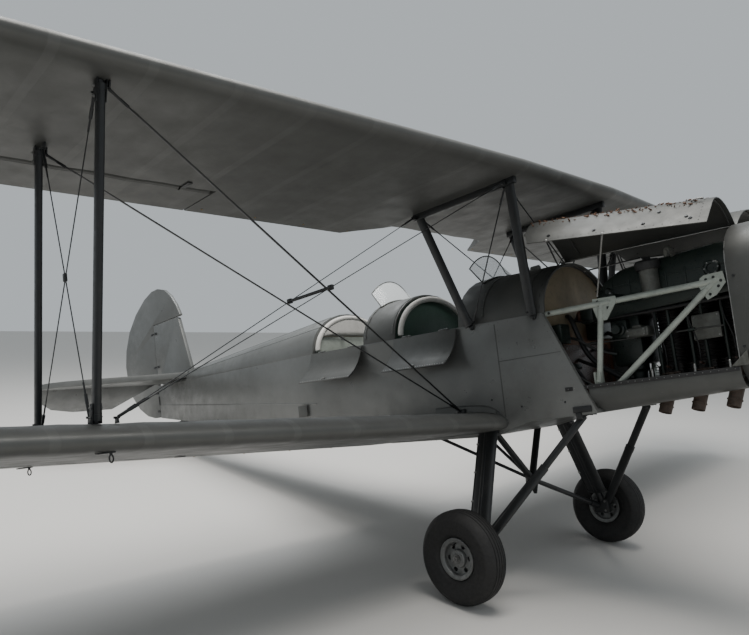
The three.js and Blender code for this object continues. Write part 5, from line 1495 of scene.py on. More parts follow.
@dataclass
class Cowling:
  """The raised cowl panels, the lower cowl, the nose and all their trim."""

  back: tuple[float, float, float] = (0.351, 0.380, 1.432)
  front: tuple[float, float, float] = (1.206, 0.245, 1.388)
  shoulder: float = 1.219
  raised: float = 48
  lip: float = 0.757

  def hinge(self) -> Hinged:
    """The starboard panel's hinge and how far it is raised."""
    start = Vector((self.back[0], 0, self.back[2] + 0.004))
    end = Vector((self.front[0], 0, self.front[2] + 0.004))
    return Hinged(tuple(start), tuple((end - start).normalized()), -self.raised)

  def skin(self, share: float, turn: float, out: float = 0) -> tuple[Vector, Vector]:
    """A point on the starboard panel as it stands, and the way out from it.

    Args:
      share: place along the panel, from 0 behind to 1 in front.
      turn: from 0 at the hinge to 1 at the shoulder, and on to 2 at the free edge.
      out: height over the skin.
    """
    low, high = Vector(self.back), Vector(self.front)
    x, half, top = low.lerp(high, share)
    if turn <= 1:
      a = pi / 2 * (1 - turn)
      at = Vector((x, -half * cos(a), self.shoulder + (top - self.shoulder) * sin(a)))
      way = Vector((0, -cos(a), sin(a) * half / (top - self.shoulder))).normalized()
    else:
      at = Vector((x, -half, self.shoulder - (turn - 1) * (self.shoulder - 1.07)))
      way = RIGHT
    turned = self.hinge().matrix()
    return turned @ (at + way * out), turned.to_3x3() @ way

  def panel_trim(self) -> None:
    """Stiffeners, rivets and fasteners on each panel, and debris on the starboard one."""
    piece = Piece("cowl_panel_trim", METAL)
    for share in (0.115, 0.975):
      rib = []
      for k in range(15):
        turn = 0.06 + 1.3 * k / 14
        rib.append(self.skin(share, turn, -0.0085)[0])
      piece.tube(rib, 0.0045, 6)
    edge = [self.skin(0.12 + 0.85 * k / 10, 1.97, -0.0035)[0] for k in range(11)]
    piece.tube(edge, 0.003, 6)
    for share in (0.1, 0.96):
      for k in range(12):
        at, way = self.skin(share, 0.1 + 1.75 * k / 11)
        piece.rivet(at, way, 0.0032)
    for k in range(22):
      share = 0.1 + 0.86 * k / 21
      at, way = self.skin(share, 1.86)
      piece.rivet(at, way, 0.0032)
    piece.use(SLATE)
    for share in (0.2, 0.45, 0.7, 0.92):
      at, way = self.skin(share, 1.72)
      piece.rod(at - way * 0.002, at + way * 0.004, 0.0095, 0.008, sides=16)
      piece.rod(at - way * 0.005, at + way * 0.006, 0.0035, sides=10)
    for share, turn in ((0.76, 1.2), (0.9, 1.62)):
      at, way = self.skin(share, turn)
      piece.use(SLATE).rod(at - way * 0.002, at + way * 0.005, 0.009, 0.006, sides=10)
    at, way = self.skin(0.9, 0.9)
    piece.use(STEEL).tube([at, at + way * 0.012, self.skin(0.96, 0.93, 0.014)[0]], 0.0035, 8)
    both(piece, "cowl_panel_", crease=32)
    debris = Piece("cowl_debris", RUST)
    draw = random.Random(7)
    for _ in range(300):
      share, turn = 0.04 + 0.92 * draw.random(), 0.4 + 0.62 * draw.random() ** 1.3
      at, way = self.skin(share, turn)
      size = 0.0022 + 0.0085 * draw.random() ** 2
      spread = Vector((draw.uniform(-1, 1), draw.uniform(-1, 1), draw.uniform(-0.3, 0.3))).normalized()
      debris.rod(at - spread * size, at + spread * size + way * size * 0.7, size * 0.5, size * 0.25, sides=5)
    debris.place("cowl_panel_right", crease=32)

  def stays(self) -> None:
    """Two thin stays a side that hold the panel up, from the bearer and the firewall to its free edge."""
    ends = (("front", STEEL, (0.657, -0.305, 1.172), (0.8, -0.459, 1.416)),
        ("rear", SLATE, (0.3815, -0.1326, 1.388), (0.54, -0.495, 1.452)))
    for name, finish, foot, top in ends:
      for side, way in zip(SIDES, (1, -1)):
        low, high = Vector((foot[0], foot[1] * way, foot[2])), Vector((top[0], top[1] * way, top[2]))
        piece = Piece(f"panel_stay_{name}_{side}", finish)
        piece.tube([low.lerp(high, i / 12) for i in range(13)], 0.0042, 10, False)
        piece.use(STEEL).ball(high, 0.0075, 2).ball(low, 0.0065, 2)
        made = piece.place("", crease=32)
        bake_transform(made)

  def panels(self) -> None:
    """The two panels themselves, from their solids."""
    for side in SIDES:
      dress(f"cowl_panel_{side}", METAL, 0.0012)

  def nose(self) -> None:
    """The nose bowl's edge bead, its fasteners, the air intake's lip and the shaft ring."""
    piece = Piece("nose_trim", METAL)
    piece.turned([(0.056, -0.004), (0.064, -0.004), (0.066, 0), (0.064, 0.004), (0.056, 0.004)],
        (1.56, 0, 1.195), FORE, 40)
    lip = [(1.561, 0.105 * sin(a), 0.945 + 0.07 * cos(a)) for a in circle(32, closed=True)]
    piece.tube(lip, 0.006, 8, False).use(SLATE)
    for z in (0.84, 1.14):
      for way in (-1, 1):
        piece.rod((1.238, way * 0.2405, z), (1.238, way * 0.2465, z), 0.0065, 0.0055, sides=14)
    piece.use(DARK_SHEET)
    for i in range(9):
      z = 0.9 + i * 0.011
      wide = sqrt(max(0, 1 - ((z - 0.945) / 0.072) ** 2)) * 0.1
      piece.box((1.5, -wide, z), (1.504, wide, z + 0.002))
    piece.place()
    rim = Piece("nose_rear_edge", STEEL)
    for way in (-1, 1):
      run = []
      for k in range(13):
        a = pi / 2 * k / 12
        run.append((1.2135, way * 0.2425 * sin(a), 1.2 + 0.185 * cos(a)))
      run += [(1.2135, way * 0.2425, 1.1), (1.2135, way * 0.2425, 0.95), (1.2135, way * 0.2425, 0.78)]
      rim.tube(run, 0.003, 6, False)
    rim.place(crease=32)

  def lower(self) -> None:
    """Black riveted seal along the lower cowl's lip, pins and brackets."""
    piece = Piece("cowl_seals", SEAL)
    start, end = Vector((0.462, -0.3745, 0.748)), Vector((1.208, -0.249, 0.75))
    along = (end - start).normalized()
    piece.box((0, 0, -0.009), ((end - start).length, 0.0035, 0.0105), 0.0012,
        Matrix.Translation(start) @ along.to_track_quat("X", "Z").to_matrix().to_4x4())
    piece.use(STEEL)
    out = Vector((-along.y, along.x, 0)) * -1
    out = out if out.y < 0 else -out
    for k in range(24):
      at = start.lerp(end, (k + 0.5) / 24) + out * 0.0005
      piece.rivet(at + UP * 0.001, out, 0.0028)
    for x, y in ((1.038, -0.268), (1.175, -0.247), (0.86, -0.29)):
      piece.rod((x, y, 0.76), (x, y, 0.788), 0.0048, sides=12).ball((x, y, 0.789), 0.0055, 2)
    piece.use(CASTING)
    piece.plate([(0, 0), (0.07, 0), (0.07, 0.062)], (1.18, -0.251, 0.762), FORE, UP, 0.003, 0.0005)
    piece.mirror().place()
    dress("lower_cowl", METAL, 0.0012)
    dress("nose_cowl", METAL, 0.0012)

  def firewall(self) -> None:
    """The sheet, rust-brown with painted shade below a line, with a dark rolled rim."""
    dress("firewall", FIREWALL, 0.0008)
    rim = Piece("firewall_rim", SEAL)
    run = [arch(0.371, pi * k / 28, 0.354, 0.268) for k in range(29)]
    rim.tube([Vector((0.371, -0.354, 0.9)), *run, Vector((0.371, 0.354, 0.9))], 0.0075, 8,
        False).place(crease=32)

  def build(self) -> None:
    """Make the whole cowling."""
    self.panels()
    self.panel_trim()
    self.stays()
    self.lower()
    self.nose()
    self.firewall()


@dataclass
class Cockpits:
  """Two cockpits: doors, coamings, pads, seats, belts, panels, sticks and screens."""

  fronts: tuple[float, float] = (-0.144, -0.919)
  backs: tuple[float, float] = (-0.639, -1.437)
  door_height: float = 0.212
  door_open: float = 177
  floor: float = 0.668

  def door(self) -> Hinged:
    """The starboard doors' hinge and how far they hang open."""
    return Hinged((0, -HALF_WIDTH - 0.005, longeron(0) + 0.002), (1, 0, -0.033), self.door_open)

  def door_skin(self, x: float, share: float, out: float = 0) -> tuple[Vector, Vector]:
    """A point on a hanging starboard door's outer face when shut, and the way out from it."""
    low, high = 0.009 / 0.289, asin(self.door_height / 0.289)
    turn = low + (high - low) * share
    way = outward(turn)
    turned = self.door().matrix()
    return turned @ (arch(x, turn) + way * out), turned.to_3x3() @ way

  def doors(self) -> None:
    """The hanging doors from their solids, with rivets and latches."""
    for name, front, back in zip(("front", "rear"), self.fronts, self.backs):
      for side in SIDES:
        dress(f"door_{name}_{side}", METAL, 0.001)
      piece = Piece(f"door_trim_{name}", METAL)
      ends = (front - 0.012, back + 0.012)
      inset = 0.0062
      piece.use(STEEL)
      for k in range(26):
        x = ends[0] + (ends[1] - ends[0]) * (k + 0.5) / 26
        at, way = self.door_skin(x, 0.955, -inset)
        piece.rivet(at, -way, 0.0048)
      piece.use(METAL)
      for end, step in ((ends[0], -0.008), (ends[1], 0.008)):
        for k in range(9):
          at, way = self.door_skin(end + step, 0.08 + 0.84 * k / 8, -inset)
          piece.rivet(at, -way, 0.0028)
      piece.use(STEEL)
      for share in (0.2, 0.8):
        x = back + 0.006 + (front - back - 0.012) * share
        for dx in (-0.009, 0.009):
          at, way = self.door_skin(x + dx, 0.12, -inset)
          piece.rivet(at, -way, 0.0034)
      at, way = self.door_skin((front + back) / 2, 0.93, -inset)
      piece.rod(at, at - way * 0.006, 0.011, 0.009, sides=16)
      piece.box(at - way * 0.008 - Vector((0.018, 0.003, 0.004)), at - way * 0.005 + Vector((0.018, 0.003,
          0.004)), 0.002)
      both(piece, f"door_{name}_")

  def soft(self, name: str, piece: Piece, body: str = "airframe", cap: float = 0.007,
      voxel: float = 0.007) -> None:
    """Args:
      name: the pad's name.
      piece: its form, a little small.
      body: the body that carries it.
      cap: how far a point may move, in metres.
      voxel: size of the cells it is rebuilt from.
    """
    piece.name = name
    pad = piece.place(body, (), 60)
    bpy.context.view_layer.objects.active = pad
    remesh = pad.modifiers.new("cells", "REMESH")
    remesh.mode, remesh.voxel_size = "VOXEL", voxel
    self.apply(pad, remesh)
    before = [vert.co.copy() for vert in pad.data.vertices]
    cloth = pad.modifiers.new("stuffing", "CLOTH")
    cloth.settings.use_pressure = True
    cloth.settings.uniform_pressure_force = 4
    cloth.settings.quality = 5
    cloth.settings.effector_weights.gravity = 0
    cloth.point_cache.frame_start, cloth.point_cache.frame_end = 1, 20
    for step in range(1, 21):
      bpy.context.scene.frame_set(step)
    self.apply(pad, cloth)
    bpy.context.scene.frame_set(1)
    for vert, start in zip(pad.data.vertices, before):
      move = vert.co - start
      if move.length > cap:
        vert.co = start + move.normalized() * cap
    smooth = pad.modifiers.new("skin", "SUBSURF")
    smooth.levels = smooth.render_levels = 1
    self.apply(pad, smooth)
    for face in pad.data.polygons:
      face.use_smooth = True

  def apply(self, thing: bpy.types.Object, modifier: bpy.types.Modifier) -> None:
    """Turn a modifier's result into the object's own mesh."""
    graph = bpy.context.evaluated_depsgraph_get()
    mesh = bpy.data.meshes.new_from_object(thing.evaluated_get(graph))
    old = thing.data
    thing.modifiers.remove(modifier)
    thing.data = mesh
    bpy.data.meshes.remove(old)
    mesh.name = thing.name

  def head_pad(self) -> None:
    """The rear cockpit's aft face: a sewn white pad above a pale panel with a rail and a ring."""
    x = self.backs[1]
    seam, half, height = 0.118, 0.338, 0.262
    across = [asin(seam / height) + (pi - 2 * asin(seam / height)) * k / 24 for k in range(25)]
    crown = [(half * cos(a), height * sin(a)) for a in across]
    piece = Piece("head_pad_rear", PAD)
    piece.plate(crown, (x + 0.027, 0, longeron(x)), LEFT, UP, -0.024, 0.008)
    self.soft("head_pad_rear", piece, cap=0.006, voxel=0.008)
    panel = Piece("aft_panel_rear", BEARER)
    wide = half * cos(across[0])
    panel.plate([(-half, 0.01), (half, 0.01), (half, 0.03), (wide, seam), (-wide, seam), (-half, 0.03)],
        (x + 0.016, 0, longeron(x)), LEFT, UP, -0.012, 0.002)
    panel.use(WEBBING).rod((x + 0.028, -wide, longeron(x) + seam), (x + 0.028, wide, longeron(x) + seam),
        0.0025, sides=8)
    panel.use(STEEL)
    hoop = [(x + 0.032, -0.1 + 0.014 * cos(a), longeron(x) + seam - 0.014 + 0.014 * sin(a)) for a in
        (2 * pi * k / 18 for k in range(19))]
    panel.tube(hoop, 0.0025, 8, False).place()

  def coamings(self) -> None:
    """White padded bands round the back of each cockpit, dark rolls round the front."""
    for name, x, low in (("front", self.backs[0], 0.022), ("rear", self.backs[1], 0.022)):
      piece = Piece(f"coaming_{name}", PAD)
      count, section = 30, 10
      half, height = (HALF_WIDTH - 0.0185, 0.289 - 0.0185)
      rings = []
      for k in range(count + 1):
        turn = pi * (low + (1 - 2 * low) * k / count)
        middle = arch(x, turn, half, height)
        way = outward(turn)
        rings.append([middle + Vector((0.021 + 0.0185 * cos(a), 0,
            0)) + way * (0.0185 * sin(a) - 0.0145) for a in (2 * pi * j / section for j in range(section))])
      piece.loft(rings)
      self.soft(f"coaming_{name}", piece, cap=0.004, voxel=0.006)
    for name, x in zip(("front", "rear"), self.fronts):
      piece = Piece(f"coaming_roll_{name}", LEATHER)
      run = [arch(x + 0.003, pi * (0.03 + 0.94 * k / 40), 0.3495, 0.2705) for k in range(41)]
      piece.tube(run, 0.0075, 12).use(STEEL)
      for k in range(24):
        turn = pi * (0.06 + 0.88 * k / 23)
        way = outward(turn)
        piece.rivet(arch(x + 0.02, turn, 0.3685, 0.2895), way, 0.0026)
      piece.place(crease=32)

  def seats(self) -> None:
    """Bucket seats from their solids, with cushions and lap and shoulder belts."""
    for name, back, step in (("front", self.backs[0], 0.006), ("rear", self.backs[1], 0.014)):
      dress(f"seat_{name}", GREEN, 0.004)
      x, z = back + step, self.floor + 0.27
      cushion = Piece(f"seat_cushion_{name}", LEATHER)
      cushion.box((x + 0.04, -0.165, z + 0.008), (x + 0.325, 0.165, z + 0.062), 0.022)
      self.soft(f"seat_cushion_{name}", cushion, cap=0.009)
      rest = Piece(f"back_cushion_{name}", LEATHER)
      rest.box((x + 0.036, -0.165, z + 0.078), (x + 0.085, 0.165, longeron(x) - 0.035), 0.02)
      self.soft(f"back_cushion_{name}", rest, cap=0.008)
      belts = Piece(f"seat_belts_{name}", WEBBING)
      for side in (-1, 1):
        belts.loft([[(x + u, side * v + dy, zz + h) for dy, h in ((-0.021, 0), (0.021, 0), (0.021, 0.0025),
            (-0.021, 0.0025))] for u, v, zz in ((0.03, 0.08, longeron(x) - 0.004),
            (0.06, 0.08, longeron(x) - 0.012), (0.098, 0.079, longeron(x) - 0.045), (0.1, 0.075, z + 0.2),
            (0.12, 0.065, z + 0.11), (0.19, 0.045, z + 0.083), (0.22, 0.02, z + 0.081))])
        belts.loft([[(x + u + du, side * v, zz + h) for du, h in ((-0.021, 0), (0.021, 0), (0.021, 0.0025),
            (-0.021, 0.0025))] for u, v, zz in ((0.15, 0.183, z + 0.06), (0.16, 0.165, z + 0.085),
            (0.2, 0.1, z + 0.083), (0.23, 0.03, z + 0.082))])
      belts.use(STEEL).box((x + 0.205, -0.03, z + 0.083), (x + 0.262, 0.03, z + 0.093), 0.003)
      belts.rod((x + 0.234, 0, z + 0.09), (x + 0.234, 0, z + 0.103), 0.017, 0.014, sides=24)
      for side in (-1, 1):
        belts.box((x + 0.094, side * 0.077 - 0.026, z + 0.2), (x + 0.104, side * 0.077 + 0.026, z + 0.235),
            0.002)
      belts.place()

  def panels(self) -> None:
    """Instrument panels with blank dials and switches."""
    dials = ((-0.19, 0.06, 0.04), (-0.095, 0.065, 0.04), (0, 0.07, 0.04), (0.095, 0.065, 0.04),
        (0.19, 0.06, 0.04), (-0.13, -0.03, 0.033), (0.13, -0.03, 0.033))
    for name, x in zip(("front", "rear"), self.fronts):
      face = x + 0.0135
      piece = Piece(f"instruments_{name}", SLATE)
      height = 0.255
      outline = [(-0.335, -0.062), (0.335, -0.062)]
      outline += [(0.335 * cos(a), 0.004 + height * sin(a)) for a in (pi * k / 24 for k in range(25))]
      piece.plate(outline, (face, 0, longeron(face)), LEFT, UP, -0.004, 0.001)
      for y, z, size in dials:
        middle = (face - 0.004, y, longeron(face) + z + 0.02)
        piece.use(SLATE).turned([(size * 0.78, 0), (size, 0), (size, 0.006), (size * 0.94, 0.009),
            (size * 0.8, 0.009), (size * 0.78, 0.005)], middle, AFT, 36)
        piece.use(DIAL).turned([(0, 0), (size * 0.79, 0), (size * 0.79, 0.0035), (0, 0.0035)], middle, AFT,
            30)
        piece.use(PAD)
        piece.rod((middle[0] - 0.0045, y, middle[2]), (middle[0] - 0.0045, y + size * 0.42,
            middle[2] + size * 0.4), 0.0012, sides=6)
        for a in circle(12):
          near, far = size * 0.6, size * 0.72
          piece.rod((middle[0] - 0.0042, y + near * cos(a), middle[2] + near * sin(a)),
              (middle[0] - 0.0042, y + far * cos(a), middle[2] + far * sin(a)), 0.0009, sides=5)
      piece.use(STEEL)
      for y in (-0.05, -0.025, 0.025, 0.05):
        piece.rod((face - 0.004, y, longeron(face) - 0.02), (face - 0.026, y, longeron(face) - 0.012), 0.003,
            sides=8)
        piece.bolt((face - 0.004, y, longeron(face) - 0.02), AFT, 0.006)
      piece.place()

  def controls(self) -> None:
    """The floor from its solid, stick grips and gaiters, pedals' straps, throttle levers."""
    dress("cockpit_floor", GREEN, 0.0015)
    dress("seat_bulkhead", GREEN, 0.001)
    piece = Piece("controls", LEATHER)
    for back in self.backs:
      x = back + 0.4
      top = Vector((x - 0.03, 0, self.floor + 0.4))
      way = (top - Vector((x, 0, self.floor))).normalized()
      piece.use(SEAL)
      piece.turned([(0, -0.14), (0.0165, -0.14), (0.019, -0.1), (0.0165, -0.06), (0.019, -0.02),
          (0.017, 0.01), (0.008, 0.02), (0, 0.02)], top, way, 20)
      piece.use(LEATHER)
      folds = [(0, 0)]
      for k in range(6):
        folds += [(0.07 - 0.009 * k, 0.004 + 0.012 * k), (0.055 - 0.0075 * k, 0.01 + 0.012 * k)]
      piece.turned([*folds, (0, 0.08)], (x - 0.001, 0, self.floor + 0.012), way, 28).use(STEEL)
      for y in (-0.17, 0.17):
        piece.box((x + 0.168, y - 0.028, self.floor + 0.088), (x + 0.202, y + 0.028, self.floor + 0.118),
            0.004)
      for lift in (0, 0.05):
        piece.rod((x + 0.1, 0.33, 1.03), (x + 0.1 + lift, 0.32, 1.12 + 0.3 * lift), 0.0045, sides=10)
        piece.use(SEAL).ball((x + 0.1 + lift, 0.32, 1.125 + 0.3 * lift), 0.013, 2).use(STEEL)
      piece.box((x + 0.04, 0.325, 1), (x + 0.18, 0.342, 1.05), 0.006)
    piece.place()

  def frames(self) -> None:
    """The tubes and stringers seen inside the cockpits."""
    piece = Piece("cockpit_frames", GREEN)
    for x in (0.18, -0.13, -0.39, -0.655, -0.9, -1.17, -1.42):
      piece.rod((x, -0.337, 0.685), (x, -0.337, longeron(x) - 0.02), 0.009, sides=10)
    piece.rod((0.34, -0.335, longeron(0.34) - 0.016), (-1.425, -0.335, longeron(-1.425) - 0.016), 0.011,
        sides=12)
    piece.rod((0.18, -0.333, 0.7), (-0.13, -0.333, 1.12), 0.007, sides=10)
    piece.rod((-0.13, -0.333, 0.7), (-0.39, -0.333, 1.12), 0.007, sides=10)
    piece.rod((-0.9, -0.333, 0.7), (-1.17, -0.333, 1.12), 0.007, sides=10).mirror().place()

  def screens(self) -> None:
    """Clear screens from their solids, in thin metal edging with bolted feet."""
    for name, foot in (("front", -0.04), ("rear", -0.862)):
      dress(f"windscreen_{name}", CLEAR, 0.0004)
      piece = Piece(f"windscreen_edge_{name}", METAL)
      low, high = [], []
      for k in range(21):
        turn = radians(34) * (k / 10 - 1)
        x = foot - 0.06 * (1 - cos(turn * 1.2))
        share = max(0, (x + 0.144) / 0.541)
        at = arch(x, pi / 2 + turn, HALF_WIDTH - share * 0.006 + 0.001, 0.289 - share * 0.013 + 0.0016)
        low.append(at + Vector((-0.002, 0, 0.002)))
        high.append(Vector((at.x - 0.107, at.y * 0.86, at.z + 0.15 * (1 - 0.25 * (turn / radians(34)) ** 2))))
      piece.tube(low, 0.0045, 8).tube([low[0], *high, low[-1]], 0.0038, 8, False).use(STEEL)
      for k in (1, 5, 10, 15, 19):
        piece.rivet(low[k] + Vector((0.006, 0, 0.001)), (0.3, 0, 1), 0.0042)
      piece.place(crease=32)

  def build(self) -> None:
    """Fit out both cockpits."""
    self.doors()
    self.coamings()
    self.head_pad()
    self.seats()
    self.panels()
    self.controls()
    self.frames()
    self.screens()


@dataclass
class Fuselage:
  """The covered sides with their seams, stringers, fairings and plates."""

  def sides(self) -> None:
    """Sheet edges, rivets, bolts and the lower wing's root fairing."""
    piece = Piece("side_trim", METAL)
    y = -HALF_WIDTH
    piece.box((0.094, y - 0.0012, 0.9345), (0.462, y + 0.001, 0.9385), 0.0005)
    piece.box((0.091, y - 0.0012, 0.62), (0.0975, y + 0.001, 1.135), 0.0005)
    for k in range(16):
      piece.rivet((0.112, y - 0.0002, 0.65 + 0.03 * k), RIGHT, 0.0024)
    for k in range(14):
      share = k / 13
      piece.rivet((0.393 + 0.15 * share, y - 0.0002, 1.075 - 0.4 * share), RIGHT, 0.0026)
    for k in range(30):
      x = 0.3 - k * 0.06
      if not (-0.66 < x < -0.12 or -1.45 < x < -0.9):
        piece.rivet((x, y - 0.0002, longeron(x) - 0.012), RIGHT, 0.0024)
    arc = [(-0.378, 0.729), (-0.3, 0.731), (-0.21, 0.7285), (-0.12, 0.7245), (-0.021, 0.715), (0.04, 0.69),
        (0.085, 0.655), (0.104, 0.626)]
    run = [Vector((x, y - 0.0008, z)) for x, z in arc]
    piece.tube(run, 0.0034, 8)
    piece.loft([[(x, y - 0.0004, z - d) for d in (0, 0.004)] + [(x, y - 0.012,
        LOWER.skin(min(x, 0.09), y) + 0.003)] for x, z in arc[:6]])
    piece.use(SLATE)
    for x, z in ((-0.063, 1.166), (0.02, 0.742), (-0.26, 0.75), (0.2, 0.69), (0.45, 0.69)):
      piece.bolt((x, y - 0.0002, z - 0.02 if x == -0.063 else z), RIGHT, 0.005)
    piece.use(METAL).box((-1.66, y - 0.0018, 0.78), (-1.56, y + 0.001, 0.86), 0.001).mirror().place()

  def stringers(self) -> None:
    """Stringers that press through the fabric behind the cockpits."""
    piece = Piece("stringer_tapes", SILVER)
    rings = []
    for x in (-1.45, -2.2, -3, -3.8, -4.42):
      z, out = belly(x) + (longeron(x) - belly(x)) * 0.4, -side_at(x) - 0.0014
      rings.append([(x, out, z - 0.004), (x, out - 0.0016, z), (x, out, z + 0.004), (x, out + 0.003, z)])
    piece.loft(rings).mirror()
    for turn in (0.22, 0.36, 0.5, 0.64, 0.78):
      rings = []
      for x in (-1.45, -2.3, -3.1, -3.66):
        share = (x + 1.437) / (-3.69 + 1.437)
        height = 0.289 + (0.112 - 0.289) * share
        at = arch(x, pi * turn, side_at(x), height, 0.0008)
        away = Vector((0, -cos(pi * turn), sin(pi * turn)))
        level = Vector((0, away.z, -away.y))
        rings.append([at + level * 0.005, at + away * 0.0024, at - level * 0.005, at - away * 0.003])
      piece.loft(rings)
    piece.place()

  def deckings(self) -> None:
    """Edging strips, rivets and the fuel cap on the decking round the cockpits."""
    piece = Piece("decking_trim", METAL)
    for x in (0.3, 0.02, -0.66, -0.9):
      share = max(0, (x + 0.144) / 0.541)
      half, height = HALF_WIDTH - share * 0.006, 0.289 - share * 0.013
      count = 36
      rings = []
      for k in range(count + 1):
        turn = pi * (0.035 + 0.93 * k / count)
        at = arch(x, turn, half, height, 0.0006)
        way = outward(turn) * 0.0013
        rings.append([at + FORE * 0.009 - way, at + FORE * 0.009 + way, at + FORE * -0.009 + way,
            at + FORE * -0.009 - way])
      piece.loft(rings).use(STEEL)
      for k in range(20):
        turn = pi * (0.05 + 0.9 * k / 19)
        piece.rivet(arch(x, turn, half, height, 0.0016), (0, -cos(turn), sin(turn)), 0.0026)
      piece.use(METAL)
    piece.use(CASTING)
    at = arch(0.16, pi / 2, 0.364, 0.281)
    piece.turned([(0, -0.01), (0.034, -0.01), (0.034, 0.006), (0.03, 0.01), (0.03, 0.022), (0.026, 0.026),
        (0, 0.026)], at, UP, 32)
    piece.use(STEEL).box(at + Vector((-0.028, -0.003, 0.026)), at + Vector((0.028, 0.003, 0.031)), 0.001)
    piece.place()

  def build(self) -> None:
    """Trim the fuselage."""
    self.sides()
    self.stringers()
    self.deckings()


@dataclass
class Tail:
  """Hinge fittings and the tail wheel."""

  hinge: Point = (-4.472, 0, 0)
  plane_z: float = 1.333
  elevator_x: float = -4.36
  droop: float = 25

  def rudder_trim(self) -> None:
    """Straps and brackets on the rudder's hinges."""
    fixed = Piece("rudder_brackets", SLATE)
    moving = Piece("rudder_trim", SLATE)
    for z in (1.04, 1.23, 1.5, 1.85):
      for y in (-0.0165, 0.0135):
        moving.box((-4.53, y, z - 0.012), (-4.477, y + 0.003, z + 0.012), 0.001)
      for side in (-1, 1):
        moving.bolt((-4.515, side * 0.0165, z), (0, side, 0), 0.0042)
    for z in (1.5, 1.85):
      for side in (-1, 1):
        fixed.box((-4.45, side * 0.0185 - 0.0015, z - 0.013), (-4.4, side * 0.0185 + 0.0015, z + 0.013),
            0.001)
        fixed.bolt((-4.42, side * 0.02, z), (0, side, 0), 0.0042)
    fixed.box((-4.458, -0.03, 1.1), (-4.44, 0.03, 1.19), 0.003)
    moving.place("rudder")
    fixed.place()

  def elevator_trim(self) -> None:
    """Hinge straps of the elevators."""
    turn = Hinged((self.elevator_x, 0, self.plane_z), LEFT, -self.droop).matrix()
    piece = Piece("elevator_trim", SLATE, AIRCRAFT @ turn)
    for y in (-1.08, -0.6, -0.15):
      for dy in (-0.012, 0.0085):
        piece.box((self.elevator_x - 0.05, y + dy, self.plane_z - 0.0215),
            (self.elevator_x + 0.004, y + dy + 0.0035, self.plane_z + 0.0215), 0.001)
    piece.mirror().place("elevator")

  def tailplane_trim(self) -> None:
    """The tailplane's bolts."""
    piece = Piece("tailplane_trim", SLATE)
    for x, y in ((-3.82, -0.18), (-4.3, -0.12)):
      piece.bolt((x, y, self.plane_z + 0.0262), UP, 0.006)
    piece.mirror().place()

  def wheel(self) -> None:
    """The tail wheel's tyre and hub, and the spring's leaves and clamps."""
    low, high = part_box("tail_wheel")
    centre = tuple((low + high) / 2)
    piece = Piece("tail_wheel_tyre", TYRE, LEVEL)
    profile = [(0.045, -0.018), (0.06, -0.0195), (0.078, -0.018), (0.0865, -0.011), (0.0895, -0.003),
        (0.0885, -0.002), (0.0885, 0.002), (0.0895, 0.003), (0.0865, 0.011), (0.078, 0.018), (0.06, 0.0195),
        (0.045, 0.018)]
    piece.turned(profile, centre, RIGHT, 56).use(RIM)
    piece.turned([(0.0092, -0.019), (0.02, -0.019), (0.022, -0.012), (0.04, -0.01), (0.045, -0.015),
        (0.0452, 0.015), (0.04, 0.01), (0.022, 0.012), (0.02, 0.019), (0.0092, 0.019)], centre, RIGHT, 40)
    piece.place("tail_wheel", ("tail_wheel",))
    dress("tail_fork", SLATE, 0.003)
    spring = copied("tail_spring", SLATE, 0.002)
    spring.use(STEEL)
    for x in (-3.83, -3.93):
      for y in (-0.018, 0.018):
        spring.bolt((x, y, belly(x) - 0.0142), DOWN, 0.007)
    spring.place("airframe", ("tail_spring",), 32)

  def build(self) -> None:
    """Trim the tail."""
    self.rudder_trim()
    self.elevator_trim()
    self.tailplane_trim()
    self.wheel()


